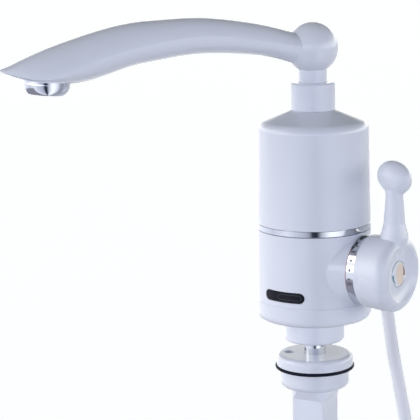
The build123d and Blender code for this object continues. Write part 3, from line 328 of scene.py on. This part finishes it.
def cord_points():
    """The whole route: free stretch, loops wound the same way, and the last run down to the plug."""
    points = [tuple(exit_spot), *CORD_ROUTE]
    y = hank_y
    for n in range(HANK_LOOPS):
        points += hank_leg(-1, y, y, -1)
        points += fold(y, hank_low, -1, -1)
        points += hank_leg(1, y, y + HANK_PITCH, 1)
        y += HANK_PITCH
        points += fold(y, HANK_TOP, 1, 1)
    points += hank_leg(-1, y, y, -1)
    points.append((hank_x - HANK_FOLD, y, hank_low - HANK_LEAD))
    return points


def make_cord(plug_piece):
    points = cord_points()
    data = bpy.data.curves.new("cord", "CURVE")
    data.dimensions = "3D"
    spline = data.splines.new("NURBS")
    spline.points.add(len(points) - 1)
    for point, place in zip(spline.points, points):
        point.co = (*[value * MM for value in place], 1.0)
    spline.order_u = 3
    spline.use_endpoint_u = True
    spline.resolution_u = 8
    data.bevel_depth = CORD_D / 2 * MM
    data.bevel_resolution = 6
    data.use_fill_caps = True
    piece = bpy.data.objects.new("mains_cord", data)
    scene.collection.objects.link(piece)
    data.materials.append(cord_white)
    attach(piece, "body")
    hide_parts("power_cord", "cord_hank")


# Small pieces
def new_piece(name, vertices, faces, material, body, sharp=35.0):
    """Mesh piece from points in millimetres, smooth but for its sharp edges."""
    mesh = bpy.data.meshes.new(name)
    mesh.from_pydata([tuple(value * MM for value in point) for point in vertices], [], faces)
    mesh.validate()
    for face in mesh.polygons:
        face.use_smooth = True
    mesh.set_sharp_from_angle(angle=radians(sharp))
    mesh.materials.append(material)
    piece = bpy.data.objects.new(name, mesh)
    scene.collection.objects.link(piece)
    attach(piece, body)
    return piece


def grid_faces(rows, columns, around=True):
    """Quads between the rows of a grid of points; the columns close round when they go around."""
    faces = []
    last = columns if around else columns - 1
    for row in range(rows - 1):
        for column in range(last):
            following = (column + 1) % columns
            a = row * columns
            faces.append((a + column, a + following, a + columns + following, a + columns + column))
    return faces


def turned_form(name, place, outline, material, body, columns=64, shape=None, closed=True):
    """Turned form: outline is its radii and heights in order, place(radius, angle, height) gives a point,
    and shape(radius, angle, height), where given, changes the radius.
    """
    vertices = []
    for radius, height in outline:
        for n in range(columns):
            angle = 2 * pi * n / columns
            reach = shape(radius, angle, height) if shape else radius
            vertices.append(place(reach, angle, height))
    rows = len(outline)
    faces = grid_faces(rows, columns)
    if closed:
        for n in range(columns):
            following = (n + 1) % columns
            low = (rows - 1) * columns
            faces.append((low + n, low + following, following, n))
    return new_piece(name, vertices, faces, material, body)


def inlay(name, outline, place, depth, material, body):
    """Flat mark: an outline on a surface, raised by depth; place(u, v, height) gives a point."""
    top = [place(u, v, depth) for u, v in outline]
    foot = [place(u, v, -depth) for u, v in outline]
    count = len(outline)
    faces = [tuple(range(count)), tuple(reversed(range(count, 2 * count)))]
    for n in range(count):
        following = (n + 1) % count
        faces.append((n, n + count, following + count, following))
    return new_piece(name, top + foot, faces, material, body)


def tube_along(name, points, normals, radius, material, body, sides=8):
    """Thin round bead along a closed line."""
    count = len(points)
    vertices = []
    for n, (point, normal) in enumerate(zip(points, normals)):
        along = (Vector(points[(n + 1) % count]) - Vector(points[n - 1])).normalized()
        out = Vector(normal).normalized()
        aside = along.cross(out)
        for k in range(sides):
            turn = 2 * pi * k / sides
            vertices.append(tuple(Vector(point) + radius * (cos(turn) * out + sin(turn) * aside)))
    faces = []
    for n in range(count):
        following = (n + 1) % count
        here = n * sides
        there = following * sides
        for k in range(sides):
            beside = (k + 1) % sides
            faces.append((here + k, there + k, there + beside, here + beside))
    return new_piece(name, vertices, faces, material, body, sharp=180.0)


def oblong(width, height, steps=14):
    """Outline with round ends, counter-clockwise."""
    reach = height / 2
    straight = width / 2 - reach
    points = []
    for side in (1, -1):
        for n in range(steps + 1):
            angle = -pi / 2 + pi * n / steps
            points.append((side * (straight + reach * cos(angle)), side * reach * sin(angle)))
    return points


def spaced(points, gap):
    """The outline with points added on its long runs."""
    result = []
    count = len(points)
    for n, (x, y) in enumerate(points):
        following = points[(n + 1) % count]
        length = sqrt((following[0] - x) ** 2 + (following[1] - y) ** 2)
        parts = max(1, int(length / gap))
        for k in range(parts):
            share = k / parts
            result.append((x + (following[0] - x) * share, y + (following[1] - y) * share))
    return result


def disc(u, v, radius_u, radius_v, steps=20):
    """Outline of an ellipse round a middle point."""
    points = []
    for n in range(steps):
        angle = 2 * pi * n / steps
        points.append((u + radius_u * cos(angle), v + radius_v * sin(angle)))
    return points


COMMA_TAPER = 0.7
COMMA_STEPS = 18


def comma(radius, start, end, thick):
    """Curved mark round a centre, thick at its start and running out to a point, angles in degrees."""
    outer = []
    inner = []
    for n in range(COMMA_STEPS + 1):
        share = n / COMMA_STEPS
        angle = radians(start + (end - start) * share)
        half = thick / 2 * (1 - share) ** COMMA_TAPER
        outer.append(((radius + half) * cos(angle), (radius + half) * sin(angle)))
        inner.append(((radius - half) * cos(angle), (radius - half) * sin(angle)))
    return outer + inner[-2::-1]


# Sizes that the solids have, in millimetres
HANDLE_Z = 62.5
DIAL_X = 33.5
DIAL_R = 20.3
CAP_X = 56.4
CAP_R = 7.65
BODY_R = 33.0
WINDOW_R = 33.15
WINDOW_Z = 48.8
WINDOW_SIZE = (26.0, 6.2)

# Marks of the dial: degrees from the top, then sizes in millimetres. A lift is a mark's height.
DIAL_LINE = (42, 111, 2)     # first, end and step, in degrees
DIAL_LINE_EDGES = (0.05, 0.5)
DIAL_LINE_LIFT = 0.05
DIAL_DOTS = ((64, 0.75), (79.5, 0.85))       # degrees and radius
DIAL_DOT_U = 2.7
DIAL_DOT_LIFT = 0.08
DIAL_BARS = ((37, 2.2, 1.7), (49, 3.0, 1.3), (94, 1.5, 1.0), (102, 3.0, 1.6))    # and width, height
DIAL_BAR_U = 2.6
DIAL_BAR_LIFT = 0.04

# Face of the handle's cap
CAP_RIM = ((-0.1, -0.3), (-0.1, -0.05), (-0.22, 0.1), (-0.42, 0.1), (-0.55, 0.0), (-0.55, -0.3))
CAP_FIELD = (1.6, -0.2, 4.2, 6.5, 36)        # middle, radii and steps
CAP_COOL = (6.2, 178, 240, 1.8)              # radius, start and end in degrees, and thickness
CAP_WARM = (6.0, -18, 44, 1.9)
CAP_FIELD_LIFT = 0.05
CAP_MARK_LIFT = 0.08

# Beads round the window and inside it
BEAD_GAP = 0.8
EDGE_MARGIN = 0.5
EDGE_BEAD = 0.32
FIGURES_SIZE = (14.6, 3.0)
FIGURES_SPOT = (4.0, 0.1)
FIGURES_BEAD = 0.10
FIGURES_END_STEPS = 8
FIGURES_BEAD_SIDES = 6


def on_dial(u, v, height):
    """Dial ring: u is along the axis from the inner edge, v is the arc from the top to the front."""
    angle = v / DIAL_R
    reach = DIAL_R + height
    return (DIAL_X + u, -reach * sin(angle), HANDLE_Z + reach * cos(angle))


def on_cap(u, v, height):
    """Cap's face: u is towards the rear, v is up."""
    return (CAP_X + height, u, HANDLE_Z + v)


def on_front(radius, u, v):
    """Front of an upright cylinder: u is across, v is up from the window's middle."""
    return (u, -sqrt(radius**2 - u**2), WINDOW_Z + v)


def make_dial_marks():
    """Line, dots and bars: the line is warm on the front side and cool on the rear side."""
    arc = DIAL_R * pi / 180
    for side, side_name, ink in ((1, "warm", ink_red), (-1, "cool", ink_blue)):
        stops = [side * degrees * arc for degrees in range(*DIAL_LINE)]
        line = [on_dial(u, v, DIAL_LINE_LIFT) for v in stops for u in DIAL_LINE_EDGES]
        faces = grid_faces(len(stops), 2, around=False)
        new_piece(f"dial_line_{side_name}", line, faces, ink, "body")
        for n, (degrees, size) in enumerate(DIAL_DOTS):
            spot = disc(DIAL_DOT_U, side * degrees * arc, size, size)
            inlay(
                f"dial_dot_{side_name}_{n}", spot, on_dial, DIAL_DOT_LIFT, ink_dark, "body"
            )
        for n, (degrees, width, tall) in enumerate(DIAL_BARS):
            v = side * degrees * arc
            near = DIAL_BAR_U - width / 2
            far = DIAL_BAR_U + width / 2
            first = v - tall / 2
            last = v + tall / 2
            bar = [(near, first), (far, first), (far, last), (near, last)]
            inlay(
                f"dial_bar_{side_name}_{n}", bar, on_dial, DIAL_BAR_LIFT, ink_dark, "body"
            )


def make_cap_face():
    """Bright rim, peach field and the cool and warm marks of the handle's cap."""
    rim = [(CAP_R + inset, height) for inset, height in CAP_RIM]

    def round_cap(radius, angle, height):
        return on_cap(radius * cos(angle), radius * sin(angle), height)

    turned_form("cap_rim", round_cap, rim, chrome, "handle")
    inlay("cap_field", disc(*CAP_FIELD), on_cap, CAP_FIELD_LIFT, cap_peach, "handle")
    inlay("cap_cool", comma(*CAP_COOL), on_cap, CAP_MARK_LIFT, cap_teal, "handle")
    inlay("cap_warm", comma(*CAP_WARM), on_cap, CAP_MARK_LIFT, cap_brown, "handle")


def make_display():
    """Raised edge round the window, and the thin frame of its unlit figures."""
    path = spaced(oblong(WINDOW_SIZE[0] + EDGE_MARGIN, WINDOW_SIZE[1] + EDGE_MARGIN), BEAD_GAP)
    points = [on_front(BODY_R, u, v) for u, v in path]
    normals = [(point[0], point[1], 0.0) for point in points]
    tube_along("display_edge", points, normals, EDGE_BEAD, white, "body")
    path = spaced(oblong(*FIGURES_SIZE, FIGURES_END_STEPS), BEAD_GAP)
    points = [on_front(WINDOW_R, u + FIGURES_SPOT[0], v + FIGURES_SPOT[1]) for u, v in path]
    normals = [(point[0], point[1], 0.0) for point in points]
    tube_along(
        "display_frame", points, normals, FIGURES_BEAD, window_line, "body",
        sides=FIGURES_BEAD_SIDES,
    )


# Supply nipple, with the thread and the chamfers that the solid leaves plain
NIPPLE_TOP = -48.0
NIPPLE_HEX = 8.0
NIPPLE_ACROSS = 24.0
NIPPLE_FACE_EDGE = 0.2           # from the flats to the turned faces
NIPPLE_SOCKET = (6.45, 6.6)      # radius and depth for the tube
SUPPLY_CREST = 10.48
SUPPLY_ROOT = 9.35
SUPPLY_LENGTH = 15.0
SUPPLY_PITCH = 1.814
SUPPLY_BORE = 6.0
THREAD_START = 1.2               # below the hexagon
THREAD_SHORT = 2.2               # of the supply's length
THREAD_SLOPE = 2.6               # of the flanks, per turn
THREAD_FLAT = 0.15               # of the crest
THREAD_ROWS = 64
STRAINER_SEAT = (8.0, 1.7)       # radius and depth


def upright(radius, angle, height):
    """Point round the tap's own axis."""
    return (radius * cos(angle), radius * sin(angle), height)


def hexagon(radius, angle, across):
    """Radius cut back to a hexagon with a corner towards +X."""
    sector = pi / 3
    return min(radius, across / 2 / cos(angle % sector - sector / 2))


def make_nipple():
    hex_bottom = NIPPLE_TOP - NIPPLE_HEX
    supply_bottom = hex_bottom - SUPPLY_LENGTH
    corner = NIPPLE_ACROSS / sqrt(3)
    bevel = corner - NIPPLE_ACROSS / 2
    thread_top = hex_bottom - THREAD_START

    def form(radius, angle, height):
        if radius == SUPPLY_CREST:
            turn = ((height - thread_top) / SUPPLY_PITCH - angle / (2 * pi)) % 1.0
            flank = min(1.0, max(0.0, THREAD_SLOPE * abs(turn - 0.5) - THREAD_FLAT))
            return SUPPLY_CREST + (SUPPLY_ROOT - SUPPLY_CREST) * flank
        if hex_bottom <= height and radius > NIPPLE_ACROSS / 2 - bevel:
            return hexagon(radius, angle, NIPPLE_ACROSS)
        return radius

    run = SUPPLY_LENGTH - THREAD_SHORT
    thread = [(SUPPLY_CREST, thread_top - run * n / THREAD_ROWS) for n in range(THREAD_ROWS + 1)]
    face_r = NIPPLE_ACROSS / 2 - NIPPLE_FACE_EDGE
    socket_r, socket_depth = NIPPLE_SOCKET
    seat_r, seat_depth = STRAINER_SEAT
    outline = [
        (socket_r, NIPPLE_TOP), (face_r, NIPPLE_TOP), (corner, NIPPLE_TOP - bevel / 2),
        (corner, hex_bottom + bevel / 2), (face_r, hex_bottom), (SUPPLY_ROOT, hex_bottom),
        *thread, (SUPPLY_ROOT, supply_bottom), (seat_r, supply_bottom),
        (seat_r, supply_bottom + seat_depth), (SUPPLY_BORE, supply_bottom + seat_depth),
        (SUPPLY_BORE, NIPPLE_TOP - socket_depth), (socket_r, NIPPLE_TOP - socket_depth),
    ]
    piece = turned_form("supply_nipple", upright, outline, brass, "body", columns=96, shape=form)
    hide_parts("inlet_nipple")


# Mains plug on the cord's end: ribbed boot, round grip, flat face and two pins
PLUG_R = 18.0
PLUG_BOOT = (4.8, 6.5, 16.0)     # radii at its two ends, and its length
BOOT_RINGS = 6
BOOT_GROOVE = ((0.15, 0.0), (0.3, 0.9), (0.6, 0.9), (0.75, 0.0))     # share of a ring, and depth
PLUG_CONE = 5.0
CONE_INSETS = (3.6, 2.2)         # from the plug's radius, before and after the cone's bend
CONE_ROUND = 0.6
SHOULDER_ROUND = (0.4, 0.8)
PLUG_LENGTH = 34.0
PLUG_ROUND = 0.7
PLUG_AXIS_R = 0.05               # closes the faces at the axis
PLUG_RIBS = 36
GRIP_ENDS = (3.0, 7.0)           # from the shoulder and from the flat face
GRIP_RUN = 0.8
GRIP_SINK = 0.01                 # sets the ribbed rows apart from the plain ones
RIB_DEPTH = 0.9
PLUG_PIN = (2.4, 19.0)
PLUG_PIN_SPACING = 19.0
PIN_TIP = ((0.0, 1.6), (0.5, 0.5), (1.3, 0.0))       # inset from its radius, and back from its end
plug_spot = (hank_x - HANK_FOLD, hank_y + HANK_LOOPS * HANK_PITCH, hank_low - HANK_LEAD)


def along_plug(radius, angle, reach):
    """Point at a radius and angle round the plug's axis, and a reach down from the cord's end."""
    x, y, z = plug_spot
    return (x + radius * cos(angle), y + radius * sin(angle), z - reach)


def make_plug():
    boot_low, boot_high, boot = PLUG_BOOT
    end = boot + PLUG_LENGTH
    outline = [(PLUG_AXIS_R, 0.0), (boot_low, 0.0)]
    for n in range(BOOT_RINGS):
        for share, drop in BOOT_GROOVE:
            along = (n + share) / BOOT_RINGS
            outline.append((boot_low + (boot_high - boot_low) * along - drop, boot * along))
    bend = boot + PLUG_CONE
    shoulder = boot + 2 * PLUG_CONE
    outline += [
        (boot_high, boot), (PLUG_R - CONE_INSETS[0], bend - CONE_ROUND),
        (PLUG_R - CONE_INSETS[1], bend + CONE_ROUND),
        (PLUG_R - SHOULDER_ROUND[0], shoulder - SHOULDER_ROUND[1]), (PLUG_R, shoulder),
    ]
    grip_r = PLUG_R - GRIP_SINK
    grip_start = shoulder + GRIP_ENDS[0]
    grip_end = end - GRIP_ENDS[1]
    outline += [
        (PLUG_R, grip_start), (grip_r, grip_start + GRIP_RUN), (grip_r, grip_end - GRIP_RUN),
        (PLUG_R, grip_end), (PLUG_R, end - PLUG_ROUND), (PLUG_R - PLUG_ROUND, end), (PLUG_AXIS_R, end),
    ]

    def grip(radius, angle, height):
        if radius == grip_r:
            return PLUG_R - RIB_DEPTH * sqrt(max(0.0, cos(PLUG_RIBS * angle)))
        return radius

    body = turned_form(
        "mains_plug", along_plug, outline, cord_white, "body", columns=6 * PLUG_RIBS,
        shape=grip, closed=False,
    )
    pin_r, pin_length = PLUG_PIN
    tip = [(pin_r - inset, pin_length - back) for inset, back in PIN_TIP]
    pin = [(pin_r, 0.0), *tip, (PLUG_AXIS_R, pin_length)]
    for side in (-1, 1):
        def at_pin(radius, angle, height, side=side):
            x, y, z = along_plug(0, 0, end + height)
            return (x + side * PLUG_PIN_SPACING / 2 + radius * cos(angle), y + radius * sin(angle), z)

        turned_form(
            "plug_pin_left" if side < 0 else "plug_pin_right", at_pin, pin, nickel, "body",
            columns=32, closed=False,
        )
    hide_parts("plug")
    return body


# Flat dark crosses on the three screws under the bowl: painted shade standing in for their cross recesses
SCREW_TURNS = (55.0, 180.0, 320.0)
SCREW_RING = 27.3
SCREW_FACE_Z = 34.5
SCREW_CROSS = (3.3, 0.75)        # length and width
SCREW_CROSS_LIFT = 0.03


def cross(length, width):
    """Outline of a plus sign."""
    long, short = length / 2, width / 2
    corner = [(long, -short), (long, short), (short, short)]
    points = []
    for quarter in range(4):
        turn = quarter * pi / 2
        points += [(x * cos(turn) - y * sin(turn), x * sin(turn) + y * cos(turn)) for x, y in corner]
    return points


def make_screw_recess_shades():
    for n, degrees in enumerate(SCREW_TURNS):
        x = SCREW_RING * cos(radians(degrees))
        y = SCREW_RING * sin(radians(degrees))

        def on_screw(u, v, height, x=x, y=y):
            return (x + u, y - v, SCREW_FACE_Z - height)

        # Painted shade: a dark flat cross where the recess would lie in shade
        inlay(f"screw_recess_shade_{n}", cross(*SCREW_CROSS), on_screw, SCREW_CROSS_LIFT, dark, "body")


# Narrow dark ring under the bright band: painted shade of the groove along its lower edge
BAND_LOW = 84.0
# Height of the painted shade line
BAND_SHADE_HEIGHT = 0.32
BAND_FOOT = 0.3                  # inside the body's skin
BAND_LIFT = 0.06


def make_band_shade_line():
    inner = BODY_R - BAND_FOOT
    outer = BODY_R + BAND_LIFT
    low = BAND_LOW - BAND_SHADE_HEIGHT
    outline = [(inner, BAND_LOW), (outer, BAND_LOW), (outer, low), (inner, low)]
    # A flat dark ring: painted shade where the groove under the band lies in shade
    turned_form("band_shade_line", upright, outline, painted_shade_grey, "body", columns=128)


make_dial_marks()
make_cap_face()
make_band_shade_line()
make_display()
make_nipple()
make_screw_recess_shades()
make_cord(make_plug())

# Stage: floor and surroundings
FLOOR_Z = -0.40
FLOOR_SIDE = 24
FLOOR_ROUGH = 0.9
FLOOR_COLOUR = srgb(236, 238, 242)
FLOOR_LIFT = 0.60            # white that only the camera sees, on top of the shaded floor
SKY_TURN = 90 - CAMERA_TURN  # turns the sky so that angle 0 is the camera's side
# Surroundings in two bands: degrees to the camera's right, then the colour.
# The lower band is what upright chrome shows. The upper one lights the shapes.
LOWER_SKY = (
    (-180, (1.55, 1.55, 1.55)),
    (-150, (1.45, 1.45, 1.45)),
    (-118, (1.18, 1.22, 1.38)),
    (-92, (0.92, 0.96, 1.12)),
    (-60, (1.18, 1.22, 1.36)),
    (-40, (0.88, 0.92, 1.08)),
    (-20, (0.68, 0.71, 0.86)),
    (-12, (0.45, 0.48, 0.58)),
    (-6, (0.03, 0.04, 0.07)),
    (4, (0.03, 0.04, 0.07)),
    (12, (0.66, 0.70, 0.80)),
    (30, (1.60, 1.65, 1.75)),
    (46, (1.45, 1.50, 1.60)),
    (60, (1.05, 1.10, 1.20)),
    (76, (0.42, 0.44, 0.54)),
    (110, (0.50, 0.53, 0.60)),
    (150, (0.70, 0.72, 0.78)),
    (180, (1.55, 1.55, 1.55)),
)
UPPER_SKY = (
    (-180, (2.06, 2.06, 1.97)),
    (-140, (2.37, 2.37, 2.29)),
    (-112, (3.49, 3.49, 3.40)),
    (-80, (4.05, 4.05, 4.05)),
    (-50, (3.97, 4.06, 4.21)),
    (-28, (2.93, 3.07, 3.58)),
    (-12, (2.07, 2.19, 2.97)),
    (12, (1.69, 1.80, 2.62)),
    (28, (1.90, 2.00, 2.55)),
    (46, (2.67, 2.77, 3.01)),
    (50, (4.88, 4.93, 5.08)),
    (58, (4.88, 4.93, 5.08)),
    (62, (3.19, 3.25, 3.30)),
    (80, (3.85, 3.90, 3.85)),
    (105, (4.13, 4.17, 3.99)),
    (130, (2.67, 2.72, 2.59)),
    (180, (2.06, 2.06, 1.97)),
)
BACKDROP = (1.0, 1.0, 1.0, 1.0)
# An edge is the heights of the direction between which one part of the sky turns into the next
BAND_EDGE = (-0.04, 0.06)
GROUND = (0.36, 0.36, 0.44, 1.0)
GROUND_EDGE = (-0.42, -0.26)
CEILING = (0.07, 0.08, 0.08, 1.0)
CEILING_EDGE = (0.14, 0.42)
LEFT_EDGE = (0.62, 0.74)     # where the ceiling starts over the tall box at the left
# White where the tall box stands, and where the dark ground is
LEFT_BOX = (
    (-180, (0.0, 0.0, 0.0)),
    (-104, (0.0, 0.0, 0.0)),
    (-98, (1.0, 1.0, 1.0)),
    (-74, (1.0, 1.0, 1.0)),
    (-68, (0.0, 0.0, 0.0)),
    (180, (0.0, 0.0, 0.0)),
)
LEFT_GROUND = (
    (-180, (1.0, 1.0, 1.0)),
    (-70, (1.0, 1.0, 1.0)),
    (-62, (0.0, 0.0, 0.0)),
    (180, (0.0, 0.0, 0.0)),
)


# Sockets of a colour mix
MIX_FACTOR = 0
MIX_FIRST = 6
MIX_SECOND = 7
MIX_RESULT = 2


def make_floor():
    bpy.ops.mesh.primitive_plane_add(size=FLOOR_SIDE, location=(0, 0, FLOOR_Z))
    floor = bpy.context.object
    floor.name = "floor"
    material, tree, shader = new_material("floor", Roughness=FLOOR_ROUGH)
    shader.inputs["Base Color"].default_value = FLOOR_COLOUR
    path = add_node(tree, "ShaderNodeLightPath")
    lift = add_node(tree, "ShaderNodeMath", operation="MULTIPLY")
    glow = add_node(tree, "ShaderNodeEmission")
    both = add_node(tree, "ShaderNodeAddShader")
    lift.inputs[1].default_value = FLOOR_LIFT
    tree.links.new(path.outputs["Is Camera Ray"], lift.inputs[0])
    tree.links.new(lift.outputs[0], glow.inputs["Strength"])
    tree.links.new(shader.outputs[0], both.inputs[0])
    tree.links.new(glow.outputs[0], both.inputs[1])
    tree.links.new(both.outputs[0], tree.nodes["Material Output"].inputs["Surface"])
    floor.data.materials.append(material)
    floor.visible_glossy = False


def sky_ramp(tree, share, stops):
    """Colour round the horizon."""
    ramp = add_node(tree, "ShaderNodeValToRGB")
    elements = ramp.color_ramp.elements
    for n, (degrees, colour) in enumerate(stops):
        spot = (degrees + 180) / 360
        element = elements[n] if n < 2 else elements.new(spot)
        element.position = spot
        element.color = (*colour, 1.0)
    tree.links.new(share, ramp.inputs["Fac"])
    return ramp.outputs["Color"]


def sky_mix(tree, height, edge, lower, upper):
    """One part of the sky below a height and another above it, with a soft edge."""
    share = add_node(tree, "ShaderNodeMapRange", interpolation_type="SMOOTHSTEP")
    share.inputs["From Min"].default_value = edge[0]
    share.inputs["From Max"].default_value = edge[1]
    mix = add_node(tree, "ShaderNodeMix", data_type="RGBA")
    tree.links.new(height, share.inputs["Value"])
    tree.links.new(share.outputs["Result"], mix.inputs[MIX_FACTOR])
    for socket, colour in ((mix.inputs[MIX_FIRST], lower), (mix.inputs[MIX_SECOND], upper)):
        if isinstance(colour, tuple):
            socket.default_value = colour
        else:
            tree.links.new(colour, socket)
    return mix.outputs[MIX_RESULT]


def sky_part(tree, share, stops, outside, inside):
    """One sky where the stops are black, and another where they are white."""
    mix = add_node(tree, "ShaderNodeMix", data_type="RGBA")
    tree.links.new(sky_ramp(tree, share, stops), mix.inputs[MIX_FACTOR])
    tree.links.new(outside, mix.inputs[MIX_FIRST])
    tree.links.new(inside, mix.inputs[MIX_SECOND])
    return mix.outputs[MIX_RESULT]


def make_world():
    world = bpy.data.worlds.new("world")
    scene.world = world
    world.use_nodes = True
    tree = world.node_tree
    place = add_node(tree, "ShaderNodeTexCoord")
    turn = add_node(tree, "ShaderNodeMapping")
    turn.inputs["Rotation"].default_value = (0, 0, radians(SKY_TURN))
    split = add_node(tree, "ShaderNodeSeparateXYZ")
    angle = add_node(tree, "ShaderNodeMath", operation="ARCTAN2")
    share = add_node(tree, "ShaderNodeMapRange")
    share.inputs["From Min"].default_value = -pi
    share.inputs["From Max"].default_value = pi
    tree.links.new(place.outputs["Generated"], turn.inputs["Vector"])
    tree.links.new(turn.outputs["Vector"], split.inputs[0])
    tree.links.new(split.outputs["Y"], angle.inputs[0])
    tree.links.new(split.outputs["X"], angle.inputs[1])
    tree.links.new(angle.outputs[0], share.inputs["Value"])
    lower = sky_ramp(tree, share.outputs["Result"], LOWER_SKY)
    upper = sky_ramp(tree, share.outputs["Result"], UPPER_SKY)
    height = split.outputs["Z"]
    round_about = sky_mix(tree, height, BAND_EDGE, lower, upper)
    ground = sky_mix(tree, height, GROUND_EDGE, GROUND, round_about)
    near = sky_part(tree, share.outputs["Result"], LEFT_GROUND, round_about, ground)
    low = sky_mix(tree, height, CEILING_EDGE, near, CEILING)
    tall = sky_mix(tree, height, LEFT_EDGE, near, CEILING)
    sky = sky_part(tree, share.outputs["Result"], LEFT_BOX, low, tall)
    rays = add_node(tree, "ShaderNodeLightPath")
    seen = add_node(tree, "ShaderNodeMix", data_type="RGBA")
    seen.inputs[MIX_SECOND].default_value = BACKDROP
    tree.links.new(rays.outputs["Is Camera Ray"], seen.inputs[MIX_FACTOR])
    tree.links.new(sky, seen.inputs[MIX_FIRST])
    tree.links.new(seen.outputs[MIX_RESULT], tree.nodes["Background"].inputs["Color"])


make_floor()
make_world()
